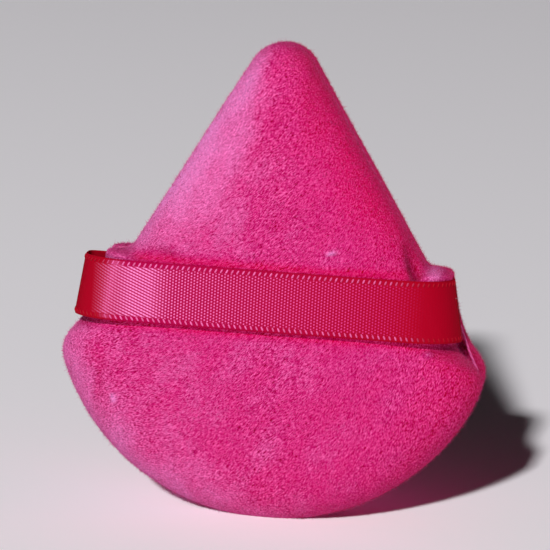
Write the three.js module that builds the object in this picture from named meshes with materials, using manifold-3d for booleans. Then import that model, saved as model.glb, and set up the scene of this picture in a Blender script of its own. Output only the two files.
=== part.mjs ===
// Triangular velour powder puff in millimetres, standing on its round edge, +Z up, ribbon side facing -Y.
// Two velour covers are sewn edge to edge round a sponge. A satin finger ribbon is caught in the side seams.

import * as THREE from "three";
import { mergeVertices } from "three/addons/utils/BufferGeometryUtils.js";
import Module from "manifold-3d";

// Outline, seen from the ribbon side
const PUFF_HEIGHT = 80; // standing flat to tip
const BASE_RADIUS = 37.9; // round edge that the puff stands on
const TIP_ANGLE = 62; // degrees between the straight sides
const TIP_RADIUS = 5.9;
const TIP_LEAN = 1.3; // how far the tip stands to the left of the middle
const CORNER_HEIGHT = 27.3; // where a side would meet the round edge
const CORNER_REACH = 3.5; // length of each run that the corner's rounding takes up
const WAIST_RISE = 2; // waist above the ribbon's upper edge
const SHOULDER_STEP = 4.7; // how far the seam is held out beside the ribbon
const SHOULDER_DROP = 2.2; // shoulder below the waist
const SHOULDER_SWELL = 2.2; // fullness of the shoulder's double curve
const SIDE_DRAW = 1.3; // how far the side below the ribbon is drawn in

// Section through the pad
const PUFF_THICKNESS = 19; // crown to crown
const RIM_OFFSET = 3; // seam to the fullest line of each cover's edge
const ROLL_WIDTH = 9; // rounded border of each cover, from the fullest line inwards
const DOME_RISE = 0.8; // gentle rise of a cover from its border to its middle
const SEAM_DEPTH = 2.2; // seam below the fullest line
const SEAM_GAP = 0.3; // between the two seam allowances
const FOOT_DEPTH = 0.5; // flat that the round edge is pressed to

// Cloth, ribbon and thread
const COVER_WALL = 1.4; // knitted ground with its pile
const SEAM_ALLOWANCE = 4;
const GROOVE_ROOM = 0.6; // from an allowance's raw edge to the sponge
const TAIL_TRIM = 2; // how much shorter than the allowances a ribbon tail is cut
const RIBBON_WIDTH = 10.3;
const RIBBON_THICKNESS = 0.4;
const RIBBON_HEIGHT = 37.5; // standing flat to the ribbon's middle line
const RIBBON_GAP = 0.8; // crown to ribbon
const RIBBON_SLACK_LEFT = 2.9; // how far the ribbon's bend stands off the cover's fullest line
const RIBBON_SLACK_RIGHT = 0.2;
const RIBBON_SPLAY_LEFT = 1.4; // how much wider the bend is at the lower edge than at the upper
const RIBBON_SPLAY_RIGHT = 2;
const RIBBON_PULL = 2; // how far the tighter right bend draws in the cover under it
const RIBBON_TURN = 1.2; // bend where a tail comes out of the seam
const THREAD_DIAMETER = 0.4;
const STITCH_PITCH = 3;
const CLOSURE_RISE = 0.5; // middle of the straight side to the middle of the turning gap
const CLOSURE_LENGTH = 24;
const TACK_DEPTH = 1; // tack row behind the seam
const TACK_SWING = 0.4; // half width of the tack row
const TACK_MARGIN = 1; // ribbon's edge to the end of the tack row
const CLEARANCE = 0.3;

// Facets
const OUTLINE_STEP = 3.5;
const CURVE_STEPS = 3;
const EVEN_STEPS = 2;
const ROLL_STEPS = 4;
const DOME_STEPS = 2;
const LINING_STEPS = 3;
const LIP_STEPS = 3;
const RIBBON_STEPS = 6;
const SPAN_STEPS = 4;
const THREAD_SIDES = 6;
const SEAM_STEPS = 110;
const STITCH_STEPS = 8;

const wasm = await Module();
wasm.setup();

const velour = new THREE.MeshStandardMaterial({ color: 0xda3c88, roughness: 0.95, metalness: 0 });
const satin = new THREE.MeshStandardMaterial({ color: 0xc8104f, roughness: 0.4, metalness: 0 });
const sponge = new THREE.MeshStandardMaterial({ color: 0xf3dfe6, roughness: 1, metalness: 0 });
const cotton = new THREE.MeshStandardMaterial({ color: 0xe0559a, roughness: 0.8, metalness: 0 });

const centre = new THREE.Vector2(0, BASE_RADIUS - FOOT_DEPTH);
const tipHalf = THREE.MathUtils.degToRad(TIP_ANGLE / 2);
const sideNormal = new THREE.Vector2(Math.cos(tipHalf), Math.sin(tipHalf));
const sideDown = new THREE.Vector2(Math.sin(tipHalf), -Math.cos(tipHalf));
const ribbonTop = RIBBON_HEIGHT + RIBBON_WIDTH / 2;
const ribbonBottom = RIBBON_HEIGHT - RIBBON_WIDTH / 2;
const waist = pointOnSide(ribbonTop + WAIST_RISE);
const sideTop = PUFF_HEIGHT - TIP_RADIUS + TIP_RADIUS * Math.sin(tipHalf);
const sideLength = (sideTop - waist.y) / Math.cos(tipHalf);
const closureStart = (sideLength - CLOSURE_LENGTH) / 2 + CLOSURE_RISE;
const halfThickness = PUFF_THICKNESS / 2;
const seamFace = SEAM_GAP / 2;
const allowanceShare = SEAM_ALLOWANCE / BASE_RADIUS;
const ribbonCrown = halfThickness + RIBBON_GAP + RIBBON_THICKNESS / 2;

const outline = outlinePoints();
const normals = outlineNormals(outline);
const supports = outlineSupports();
const seamReach = (height) => reachAt(ring(0, 0, 0), height);
const tailReach = (height) => seamReach(height) - SEAM_DEPTH - SEAM_ALLOWANCE + TAIL_TRIM;

// Point of the right straight side at a height
function pointOnSide(height) {
  const tip = new THREE.Vector2(0, PUFF_HEIGHT - TIP_RADIUS);
  const start = tip.addScaledVector(sideNormal, TIP_RADIUS);
  return start.addScaledVector(sideDown, (start.y - height) / Math.cos(tipHalf));
}

// Closed outline from the tip, down the right side, round the base and up the left side
function outlinePoints() {
  const shoulder = new THREE.Vector2(waist.x + SHOULDER_STEP, waist.y - SHOULDER_DROP);
  const cornerDrop = CORNER_HEIGHT - centre.y;
  const corner = new THREE.Vector2(Math.sqrt(BASE_RADIUS ** 2 - cornerDrop ** 2), CORNER_HEIGHT);
  const chord = corner.clone().sub(shoulder).normalize();
  const inward = new THREE.Vector2(chord.y, -chord.x);
  const draw = shoulder.clone().lerp(corner, 0.5).addScaledVector(inward, 2 * SIDE_DRAW);
  const sideEnd = corner.clone().addScaledVector(draw.clone().sub(corner).normalize(), CORNER_REACH);
  const arcStart = Math.atan2(cornerDrop, corner.x) - CORNER_REACH / BASE_RADIUS;
  const arcX = BASE_RADIUS * Math.cos(arcStart);
  const arcY = centre.y + BASE_RADIUS * Math.sin(arcStart);
  const neck = waist.clone().addScaledVector(sideDown, SHOULDER_SWELL);

  const half = new THREE.Path();
  half.absarc(0, PUFF_HEIGHT - TIP_RADIUS, TIP_RADIUS, Math.PI / 2, tipHalf, true);
  half.lineTo(waist.x, waist.y);
  half.bezierCurveTo(neck.x, neck.y, shoulder.x, shoulder.y + SHOULDER_SWELL, shoulder.x, shoulder.y);
  half.quadraticCurveTo(draw.x, draw.y, sideEnd.x, sideEnd.y);
  half.quadraticCurveTo(corner.x, corner.y, arcX, arcY);
  half.absarc(0, centre.y, BASE_RADIUS, arcStart, -Math.PI / 2, true);

  const right = half.curves.flatMap((curve) => {
    const steps = Math.max(CURVE_STEPS, Math.round(curve.getLength() / OUTLINE_STEP));
    return curve.getSpacedPoints(steps).slice(0, -1);
  });
  const left = right.slice(1).reverse().map((p) => new THREE.Vector2(-p.x, p.y));
  const foot = new THREE.Vector2(0, -FOOT_DEPTH);
  return [...right, foot, ...left].map((p) => {
    const share = Math.max((p.y - waist.y) / (PUFF_HEIGHT - waist.y), 0);
    return new THREE.Vector2(p.x - TIP_LEAN * share, p.y);
  });
}

// Outward normal at each point of a clockwise outline
function outlineNormals(points) {
  return points.map((_, i) => {
    const before = points[(i + points.length - 1) % points.length];
    const after = points[(i + 1) % points.length];
    const along = after.clone().sub(before).normalize();
    return new THREE.Vector2(-along.y, along.x);
  });
}

// Distance from the centre to the outline's tangent at each point, evened out along the outline
function outlineSupports() {
  const least = waist.clone().sub(centre).dot(sideNormal);
  const plain = outline.map((p, i) => Math.max(p.clone().sub(centre).dot(normals[i]), least));
  return plain.map((_, i) => {
    let sum = 0;
    for (let k = -EVEN_STEPS; k <= EVEN_STEPS; k++) {
      sum += plain[(i + k + plain.length) % plain.length];
    }
    return sum / (2 * EVEN_STEPS + 1);
  });
}

// A plain number, or the value that a function gives for a point of the outline
function valueAt(value, i) {
  return typeof value === "function" ? value(i) : value;
}

// Outline moved in by a depth along its normals, then drawn by a share towards the centre
function ring(depth, share, y) {
  return outline.map((p, i) => {
    const q = p.clone().addScaledVector(normals[i], -valueAt(depth, i)).lerp(centre, valueAt(share, i));
    return new THREE.Vector3(q.x, valueAt(y, i), q.y);
  });
}

// How far the ribbon's right bend draws in one side of the pad at each point of the outline
function ribbonPull(side) {
  return (i) => {
    const off = (outline[i].y - ribbonBottom) / (RIBBON_WIDTH / 2);
    return side < 0 && outline[i].x > 0 ? RIBBON_PULL * Math.exp(-(off ** 2)) : 0;
  };
}

// Half width of a ring at a height on its right side
function reachAt(points, height) {
  const i = points.findIndex((p, k) => p.x > 0 && p.z >= height && points[k + 1].z < height);
  const share = (points[i].z - height) / (points[i].z - points[i + 1].z);
  return THREE.MathUtils.lerp(points[i].x, points[i + 1].x, share);
}

// Depth at which the rounded lip of a cover stands a height off the seam plane
function lipDepth(height, pull = 0) {
  const drop = (RIM_OFFSET - height) / (RIM_OFFSET - seamFace);
  return SEAM_DEPTH - (SEAM_DEPTH - pull) * Math.sqrt(Math.max(1 - drop ** 2, 0));
}

// Height off the seam plane of a border with a share of its rise, on a dome with a share of its run
function crownHeight(top, rise, run) {
  return RIM_OFFSET + (top - DOME_RISE - RIM_OFFSET) * rise + DOME_RISE * (1 - (1 - run) ** 2);
}

// Rings of a crown on one side of the seam plane: its rounded border, then its dome
function crown(depth, top, side, steps, domeSteps) {
  const pull = ribbonPull(side);
  const row = (rise, inset, share) => {
    const run = (i) => THREE.MathUtils.lerp(inset / supports[i], 1, share);
    return ring((i) => depth + pull(i), run, (i) => side * crownHeight(top, rise, run(i)));
  };
  const border = Array.from({ length: steps + 1 }, (_, k) => {
    const angle = (k / steps) * (Math.PI / 2);
    return row(Math.sin(angle), ROLL_WIDTH * (1 - Math.cos(angle)), 0);
  });
  const dome = Array.from({ length: domeSteps - 1 }, (_, k) => row(1, ROLL_WIDTH, (k + 1) / domeSteps));
  return [...border, ...dome];
}

function pole(y) {
  return new THREE.Vector3(centre.x, y, centre.y);
}

// Closed surface through rings of equal length, ended by a fan to a point at each end
function loft(first, rings, last) {
  const count = rings[0].length;
  const points = [first, ...rings.flat(), last];
  const index = [];
  for (let i = 0; i < count; i++) {
    const next = (i + 1) % count;
    index.push(0, 1 + next, 1 + i);
    for (let r = 0; r + 1 < rings.length; r++) {
      const a = 1 + r * count;
      const b = a + count;
      index.push(a + i, a + next, b + i, a + next, b + next, b + i);
    }
    const end = 1 + (rings.length - 1) * count;
    index.push(points.length - 1, end + i, end + next);
  }
  const geometry = new THREE.BufferGeometry().setFromPoints(points);
  geometry.setIndex(index);
  return closed(geometry);
}

// Geometry with shared corners and faces that point out
function closed(geometry) {
  geometry.deleteAttribute("normal");
  geometry.deleteAttribute("uv");
  const merged = mergeVertices(geometry);
  const index = merged.index.array;
  const corner = (k) => new THREE.Vector3().fromBufferAttribute(merged.attributes.position, index[k]);
  let volume = 0;
  for (let k = 0; k < index.length; k += 3) {
    volume += corner(k).dot(corner(k + 1).cross(corner(k + 2)));
  }
  if (volume < 0) {
    index.reverse();
  }
  return merged;
}

// Cuts tools out of a body
function cut(body, tools) {
  const left = tools.reduce((rest, tool) => rest.subtract(manifold(tool)), manifold(body));
  const { numProp, vertProperties, triVerts } = left.getMesh();
  const geometry = new THREE.BufferGeometry();
  geometry.setAttribute("position", new THREE.BufferAttribute(new Float32Array(vertProperties), numProp));
  geometry.setIndex(new THREE.BufferAttribute(new Uint32Array(triVerts), 1));
  return geometry;
}

function manifold(geometry) {
  const vertProperties = new Float32Array(geometry.attributes.position.array);
  const triVerts = new Uint32Array(geometry.index.array);
  return new wasm.Manifold(new wasm.Mesh({ numProp: 3, vertProperties, triVerts }));
}

// Velour cover with its rounded lip, seam allowance and hollow, pressed flat at the foot
function cover(side) {
  const pull = ribbonPull(side);
  const lip = Array.from({ length: LIP_STEPS }, (_, k) => {
    const angle = ((k + 1) / LIP_STEPS) * (Math.PI / 2);
    const height = RIM_OFFSET - (RIM_OFFSET - seamFace) * Math.sin(angle);
    return ring((i) => lipDepth(height, pull(i)), 0, side * height);
  });
  const inside = seamFace + COVER_WALL;
  const rings = [
    ...crown(0, halfThickness, side, ROLL_STEPS, DOME_STEPS).reverse(),
    ...lip,
    ring(SEAM_DEPTH, allowanceShare, side * seamFace),
    ring(SEAM_DEPTH, allowanceShare, side * inside),
    ring((i) => COVER_WALL + lipDepth(inside, pull(i)), 0, side * inside),
    ...crown(COVER_WALL, halfThickness - COVER_WALL, side, LINING_STEPS, 1),
  ];
  const shell = loft(pole(side * halfThickness), rings, pole(side * (halfThickness - COVER_WALL)));
  return cut(shell, [footPlate(), tailPocket(-1), tailPocket(1)]);
}

// Block below the standing flat
function footPlate() {
  const plate = new THREE.BoxGeometry(2 * BASE_RADIUS, PUFF_THICKNESS, 2 * FOOT_DEPTH);
  return closed(plate.translate(0, 0, -FOOT_DEPTH));
}

// Room in the seam for a ribbon tail and the tack row on it
function tailPocket(side) {
  const front = -(RIBBON_THICKNESS / 2 + CLEARANCE);
  const back = RIBBON_THICKNESS / 2 + CLEARANCE + THREAD_DIAMETER + CLEARANCE;
  const section = (reach) => {
    const low = side * reach(ribbonBottom);
    const high = side * reach(ribbonTop);
    return [
      new THREE.Vector3(low, front, ribbonBottom - CLEARANCE),
      new THREE.Vector3(low, back, ribbonBottom - CLEARANCE),
      new THREE.Vector3(high, back, ribbonTop + CLEARANCE),
      new THREE.Vector3(high, front, ribbonTop + CLEARANCE),
    ];
  };
  const inner = section((height) => tailReach(height) - CLEARANCE);
  const outer = section((height) => seamReach(height) + SEAM_DEPTH);
  return loft(middle(inner), [inner, outer], middle(outer));
}

function middle(points) {
  return points.reduce((sum, p) => sum.add(p), new THREE.Vector3()).divideScalar(points.length);
}

// Sponge that fills both covers, with a groove round its edge for the seam allowances
function spongeCore() {
  const depth = COVER_WALL + CLEARANCE;
  const top = halfThickness - depth;
  const grooveFace = seamFace + depth;
  const grooveShare = allowanceShare + GROOVE_ROOM / BASE_RADIUS;
  const half = (side) => [
    ring(SEAM_DEPTH + CLEARANCE, grooveShare, side * grooveFace),
    ring((i) => depth + lipDepth(grooveFace, ribbonPull(side)(i)), 0, side * grooveFace),
    ...crown(depth, top, side, LINING_STEPS, 1),
  ];
  return loft(pole(-top), [...half(-1).reverse(), ...half(1)], pole(top));
}

// Route of one ribbon edge in plan, from the tail in the seam to the middle of the crown
function ribbonRoute(side, slack, splay, height) {
  const reach = seamReach(RIBBON_HEIGHT) + slack - (splay * (height - RIBBON_HEIGHT)) / RIBBON_WIDTH;
  const route = [new THREE.Vector2(side * tailReach(height), 0)];
  for (let k = 0; k <= CURVE_STEPS; k++) {
    const angle = (k / CURVE_STEPS) * (Math.PI / 2);
    const x = reach - RIBBON_TURN * (1 - Math.sin(angle));
    route.push(new THREE.Vector2(side * x, -RIBBON_TURN * (1 - Math.cos(angle))));
  }
  const over = (x, rise) => {
    const y = crownHeight(ribbonCrown, rise, 1 - x / reach);
    route.push(new THREE.Vector2(side * x, -y));
  };
  for (let k = 0; k <= RIBBON_STEPS; k++) {
    const angle = (k / RIBBON_STEPS) * (Math.PI / 2);
    over(reach - ROLL_WIDTH * (1 - Math.cos(angle)), Math.sin(angle));
  }
  for (let k = 1; k <= SPAN_STEPS; k++) {
    over((reach - ROLL_WIDTH) * (1 - k / SPAN_STEPS), 1);
  }
  return route;
}

// Inner and outer line of one ribbon edge
function ribbonEdge(height) {
  const left = ribbonRoute(-1, RIBBON_SLACK_LEFT, RIBBON_SPLAY_LEFT, height);
  const right = ribbonRoute(1, RIBBON_SLACK_RIGHT, RIBBON_SPLAY_RIGHT, height).reverse();
  const route = [...left, ...right.slice(1)];
  return route.map((p, i) => {
    const before = route[Math.max(i - 1, 0)];
    const after = route[Math.min(i + 1, route.length - 1)];
    const along = after.clone().sub(before).normalize();
    const across = new THREE.Vector3(-along.y, along.x, 0).multiplyScalar(RIBBON_THICKNESS / 2);
    const at = new THREE.Vector3(p.x, p.y, height);
    return [at.clone().sub(across), at.clone().add(across)];
  });
}

// Satin ribbon from tail to tail
function fingerRibbon() {
  const low = ribbonEdge(ribbonBottom);
  const high = ribbonEdge(ribbonTop);
  const rings = low.map((edge, i) => [edge[0], edge[1], high[i][1], high[i][0]]);
  return loft(middle(rings[0]), rings, middle(rings[rings.length - 1]));
}

// Thread along a row of points
function threadAlong(points, steps) {
  const corners = Array.from({ length: THREAD_SIDES }, (_, k) => {
    const angle = (k / THREAD_SIDES) * 2 * Math.PI;
    return new THREE.Vector2(Math.cos(angle), Math.sin(angle)).multiplyScalar(THREAD_DIAMETER / 2);
  });
  const extrudePath = new THREE.CatmullRomCurve3(points);
  return closed(new THREE.ExtrudeGeometry(new THREE.Shape(corners), { steps, extrudePath }));
}

// Point of the right straight side's seam, by its distance from the waist, its depth and its place across
function closurePoint(distance, depth, y) {
  const height = waist.y + distance * Math.cos(tipHalf);
  return new THREE.Vector3(reachAt(ring(depth, 0, 0), height), y, height);
}

// Seam thread in the valley between the lips, over the ribbon tails, from end to end of the turning gap
function seamThread() {
  const seat = lipDepth(THREAD_DIAMETER / 2 + CLEARANCE);
  const overRibbon = RIBBON_THICKNESS / 2 + CLEARANCE + THREAD_DIAMETER / 2;
  const ribbonSeat = lipDepth(overRibbon + THREAD_DIAMETER / 2 + 2 * CLEARANCE);
  const low = closurePoint(closureStart - STITCH_PITCH / 2, seat, 0);
  const high = closurePoint(closureStart + CLOSURE_LENGTH + STITCH_PITCH / 2, seat, 0);
  const seated = outline.map((p, i) => {
    const past = Math.max(p.y - waist.y, ribbonBottom - p.y);
    const climb = 1 - THREE.MathUtils.smoothstep(past, 2 * THREAD_DIAMETER, STITCH_PITCH);
    const depth = THREE.MathUtils.lerp(seat, ribbonSeat, climb);
    const q = p.clone().addScaledVector(normals[i], -depth);
    return new THREE.Vector3(q.x, climb * overRibbon, q.y);
  });
  const below = seated.findIndex((p) => p.z < low.z - THREAD_DIAMETER);
  const above = seated.findIndex((p) => p.z < high.z + THREAD_DIAMETER);
  return threadAlong([low, ...seated.slice(below), ...seated.slice(0, above), high], SEAM_STEPS);
}

// Ladder stitch from lip to lip along the turning gap
function closingStitch() {
  const swing = THREAD_DIAMETER / 2 + CLEARANCE;
  const seat = lipDepth(swing + THREAD_DIAMETER / 2 + 2 * CLEARANCE);
  const count = Math.round(CLOSURE_LENGTH / STITCH_PITCH);
  const points = Array.from({ length: 2 * count + 1 }, (_, k) => {
    const distance = closureStart + (k / (2 * count)) * CLOSURE_LENGTH;
    return closurePoint(distance, seat, k % 2 === 0 ? -swing : swing);
  });
  return threadAlong(points, count * STITCH_STEPS);
}

// Tack row that holds one ribbon tail to the seam allowance
function ribbonTack(side) {
  const y = RIBBON_THICKNESS / 2 + CLEARANCE + THREAD_DIAMETER / 2;
  const length = RIBBON_WIDTH - 2 * TACK_MARGIN;
  const count = Math.round(length / STITCH_PITCH);
  const low = seamReach(ribbonBottom) - SEAM_DEPTH - TACK_DEPTH;
  const high = seamReach(ribbonTop) - SEAM_DEPTH - TACK_DEPTH;
  const points = Array.from({ length: 2 * count + 1 }, (_, k) => {
    const rise = TACK_MARGIN + (k / (2 * count)) * length;
    const reach = THREE.MathUtils.lerp(low, high, rise / RIBBON_WIDTH);
    const swing = k % 2 === 0 ? -TACK_SWING : TACK_SWING;
    return new THREE.Vector3(side * (reach + swing), y, ribbonBottom + rise);
  });
  return threadAlong(points, count * STITCH_STEPS);
}

function piece(name, geometry, material) {
  const mesh = new THREE.Mesh(geometry, material);
  mesh.name = name;
  return mesh;
}

const puff = new THREE.Group();
puff.add(
  piece("back_cover", cover(-1), velour),
  piece("face_cover", cover(1), velour),
  piece("sponge_core", spongeCore(), sponge),
  piece("ribbon", fingerRibbon(), satin),
  piece("seam_thread", seamThread(), cotton),
  piece("closing_stitch", closingStitch(), cotton),
  piece("ribbon_tack_left", ribbonTack(-1), cotton),
  piece("ribbon_tack_right", ribbonTack(1), cotton),
);

// The ribbon stands proud of one side, so the seam plane lies half of that behind the origin
puff.position.y = (RIBBON_GAP + RIBBON_THICKNESS) / 2;

export default puff;
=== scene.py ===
"""Looks of a powder puff: velour covers with their pile, sponge filling, satin finger ribbon and sewing thread."""

import math

import bpy
import numpy as np
from bpy.props import FloatProperty, FloatVectorProperty, IntProperty, PointerProperty
from mathutils import Matrix, Vector, noise


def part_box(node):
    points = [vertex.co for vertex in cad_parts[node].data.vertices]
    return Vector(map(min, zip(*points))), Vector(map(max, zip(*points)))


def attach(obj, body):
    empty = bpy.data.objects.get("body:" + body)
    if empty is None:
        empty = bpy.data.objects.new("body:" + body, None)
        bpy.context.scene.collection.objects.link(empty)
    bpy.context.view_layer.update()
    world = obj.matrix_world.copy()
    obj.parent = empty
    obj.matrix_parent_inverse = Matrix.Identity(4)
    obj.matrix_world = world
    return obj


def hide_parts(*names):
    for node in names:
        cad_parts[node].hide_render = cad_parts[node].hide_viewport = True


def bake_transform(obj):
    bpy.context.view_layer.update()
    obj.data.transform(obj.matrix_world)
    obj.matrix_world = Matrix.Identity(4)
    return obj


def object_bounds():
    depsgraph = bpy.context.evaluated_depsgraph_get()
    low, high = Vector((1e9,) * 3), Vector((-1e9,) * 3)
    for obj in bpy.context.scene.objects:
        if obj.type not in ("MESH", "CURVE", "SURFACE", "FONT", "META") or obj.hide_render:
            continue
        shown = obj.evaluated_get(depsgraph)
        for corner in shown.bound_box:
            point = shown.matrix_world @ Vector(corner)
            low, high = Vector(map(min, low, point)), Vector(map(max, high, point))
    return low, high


bl_info = {
    "name": "Powder puff",
    "version": (1, 0, 0),
    "blender": (4, 5, 0),
    "location": "3D View > Sidebar > Puff",
    "description": "Builds the soft pieces of a triangular powder puff round its solid model",
    "category": "Object",
}

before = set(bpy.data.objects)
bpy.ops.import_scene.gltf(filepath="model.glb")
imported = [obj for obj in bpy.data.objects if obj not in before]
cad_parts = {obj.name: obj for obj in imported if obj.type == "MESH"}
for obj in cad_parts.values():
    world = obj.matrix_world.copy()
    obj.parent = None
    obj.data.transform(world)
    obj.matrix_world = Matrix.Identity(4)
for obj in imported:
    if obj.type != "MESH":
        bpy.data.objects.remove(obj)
CAD_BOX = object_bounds()
SEAM_PLANE = (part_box("back_cover")[1].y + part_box("face_cover")[0].y) / 2
RIBBON_LOW, RIBBON_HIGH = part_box("ribbon")

# Rings of the grids under a cover's outside, a cover's lining and the sponge, and grid of half a ribbon
COVER_RINGS = 152
LINING_RINGS = 19
FOAM_RINGS = 48
RIBBON_COLUMNS, RIBBON_ROWS = 396, 121

# Cloth run: the coarse cover is enlarged, held by its outer rings, and swells for some frames up to this fullness
SWELL_SCALE = 20.0
SWELL_FRAMES = 20
HELD_RINGS = 3
FULLER = 0.0004

# Distance from the middle over which the lie of the pile turns, and its steepest turns
NAP_REACH = 0.024
NAP_MIDDLE, NAP_TURN = math.radians(45), math.radians(25)

# Dents, folds and lint on the ribbon side, with painted light and shade: x, z, width, height, lean, rise, paler,
# painted shade. The paler column lightens the lint and paints light onto the right shoulder's bump; the last column
# paints shade into folds and into the gaps under the ribbon's ends
MARKS = (
    # Painted shade in a dimple by the left shoulder
    (-0.0185, 0.0440, 0.0026, 0.0009, -0.25, -0.0005, -0.10, 0.15),
    # Painted shade in the crease beside the right shoulder
    (0.0229, 0.0443, 0.0008, 0.0034, 0.35, -0.0010, -0.30, 0.55),
    # Painted light on the right shoulder's bump
    (0.0265, 0.0441, 0.0022, 0.0020, 0.35, 0.0009, 0.60, 0.00),
    # Painted shade in a crease low on the left
    (-0.0286, 0.0220, 0.0008, 0.0042, -0.10, -0.0003, -0.12, 0.10),
    # Painted shadow in the gaps under the ribbon's left and right ends
    (-0.0325, 0.0318, 0.0030, 0.0011, 0.00, 0.0, -0.20, 0.50),
    (0.0292, 0.0312, 0.0030, 0.0009, 0.00, 0.0, -0.20, 0.50),
    (0.0092, 0.0462, 0.0009, 0.0004, 0.30, 0.0003, 0.35, 0.00),
    (-0.0259, 0.0191, 0.0005, 0.0009, 0.20, 0.0003, 0.30, 0.00),
    (0.0263, 0.0305, 0.0009, 0.0005, 0.40, 0.0003, 0.30, 0.00),
)

# Places along the ribbon: painted gleam by x, a painted highlight on the floats, strongest at the left and gone at the
# right end, start and end of the floats' relief, of its dotted part and of the painted light on its ground
PAINTED_GLEAM = (
    (-0.0305, 0.0), (-0.0282, 0.35), (-0.0260, 0.6), (-0.0237, 1.0), (-0.0190, 1.0),
    (-0.0120, 0.88), (0.0, 0.76), (0.0100, 0.64), (0.0190, 0.40), (0.0252, 0.0),
)
RELIEF_LEFT, RELIEF_RIGHT = (-0.0308, -0.0282), (0.0252, 0.0208)
DOTTED = (-0.0205, -0.0165)
PAINTED_LIGHT_LEFT, PAINTED_LIGHT_RIGHT = (-0.0290, -0.0245), (0.024, -0.018)
# Where the floats' painted highlight turns from its paler tint at the left to the plain float colour
PALE = (0.020, -0.026)

# Fades of the painted highlight on the edge stitches: at the left bend, to the middle, and at the right bend on the
# lower and upper edge
STITCH_LEFT, STITCH_MIDDLE = (-0.0296, -0.0265), (-0.012, 0.012)
STITCH_RIGHT = {-1: (0.0268, 0.0205), 1: (0.0262, 0.0165)}

# Dull border of the ribbon, and the plain room between its edge stitches and its floats
HEM = 0.0003
STITCH_ROOM = 0.0003

# Flat layouts: start and width of a cover's squares and of the bands between them, then of the ribbon's faces
OUTSIDE_PATCH, LINING_PATCH = (0.005, 0.775), (0.80, 0.19)
BAND_START, BAND_STEP = 0.81, 0.045
TOP_PATCH, UNDER_PATCH, WALL_PATCH = (0.53, 0.46), (0.01, 0.42), (0.46, 0.50)

# Floor: near end, half width, end of its flat part, and radius and angle of its bend upwards
FLOOR_NEAR, FLOOR_HALF, FLOOR_FLAT = -6.0, 9.0, 0.06
FLOOR_BEND, FLOOR_TILT = 9.0, math.radians(25)

THREAD_NODES = ("seam_thread", "closing_stitch", "ribbon_tack_left", "ribbon_tack_right")


def length(name, default, description):
    """A size in metres that a user may change."""
    return FloatProperty(name=name, description=description, default=default, unit="LENGTH", precision=5)


def colour(name, default, description):
    """A linear colour that a user may change."""
    return FloatVectorProperty(
        name=name, description=description, default=default, subtype="COLOR", size=3, min=0.0, max=1.0
    )


def angle(name, degrees, description):
    """An angle that a user may change."""
    return FloatProperty(name=name, description=description, default=math.radians(degrees), subtype="ANGLE")


def fraction(name, default, description):
    """A share that a user may change."""
    return FloatProperty(name=name, description=description, default=default, min=0.0, max=1.0, subtype="FACTOR")


def power(name, default, description):
    """A lamp's power that a user may change."""
    return FloatProperty(name=name, description=description, default=default, unit="POWER")


class PuffSizes(bpy.types.PropertyGroup):
    """Sizes of the covers and the filling."""

    height: length("Height", CAD_BOX[1][2], "Height from the standing flat to the tip")
    base_radius: length("Base radius", 0.0379, "Radius of the round lower edge")
    tip_angle: angle("Tip angle", 62, "Angle between the two straight sides")
    tip_radius: length("Tip radius", 0.0059, "Radius of the rounded tip")
    tip_lean: length("Tip lean", 0.0013, "How far the tip stands to the left of the middle")
    corner_height: length("Corner height", 0.0273, "Height of the widest corners")
    corner_reach: length("Corner reach", 0.0035, "Length over which a corner is rounded")
    waist_height: length("Waist height", 0.04465, "Height at which the straight sides end")
    shoulder_step: length("Shoulder step", 0.0047, "How far a shoulder stands out from the straight side")
    shoulder_drop: length("Shoulder drop", 0.0022, "How far a shoulder lies below the waist")
    shoulder_swell: length("Shoulder swell", 0.0022, "Reach of the curve over a shoulder")
    side_draw: length("Side draw", 0.0013, "How far the sides beside the ribbon are drawn in")
    half_thickness: length("Half thickness", 0.0095, "Rise of a cover from the seam plane")
    rim_offset: length("Rim offset", 0.003, "Distance of a cover's widest line from the seam plane")
    roll_width: length("Roll width", 0.009, "Width of the rounded border of a cover")
    dome_rise: length("Dome rise", 0.0008, "Rise of a cover from its border to its middle")
    seam_depth: length("Seam depth", 0.0022, "Depth of the valley over the seam")
    seam_gap: length("Seam gap", 0.0003, "Gap between the two covers in the seam")
    foot_depth: length("Foot depth", 0.0005, "How far the round edge is pressed flat where it stands")
    cover_wall: length("Cover wall", 0.0014, "Thickness of the velour with its pile")
    seam_allowance: length("Seam allowance", 0.004, "Width of the fabric turned in behind the seam")
    groove_room: length("Groove room", 0.0006, "Room between the seam allowance and the sponge")
    clearance: length("Clearance", 0.0003, "Gap kept between neighbouring pieces")


class PileSettings(bpy.types.PropertyGroup):
    """The velour's pile."""

    clump_size: length("Clump size", 0.00044, "Width of a clump of pile")
    clump_relief: length("Clump relief", 0.000024, "Height of the clumps")
    dent_relief: length("Dent relief", 0.00016, "Height of the broad unevenness")
    fibre_length: length("Fibre length", 0.00042, "Length of a loose pile fibre")
    fibre_width: length("Fibre width", 0.00005, "Width of a fibre at its root")
    fibre_count: IntProperty(name="Fibres", description="Number of fibres on a cover", default=48000, min=0)
    stray_share: fraction("Stray share", 0.06, "Share of the fibres that stand out further")
    seed: IntProperty(name="Seed", description="Start of the random draws", default=7)


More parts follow.
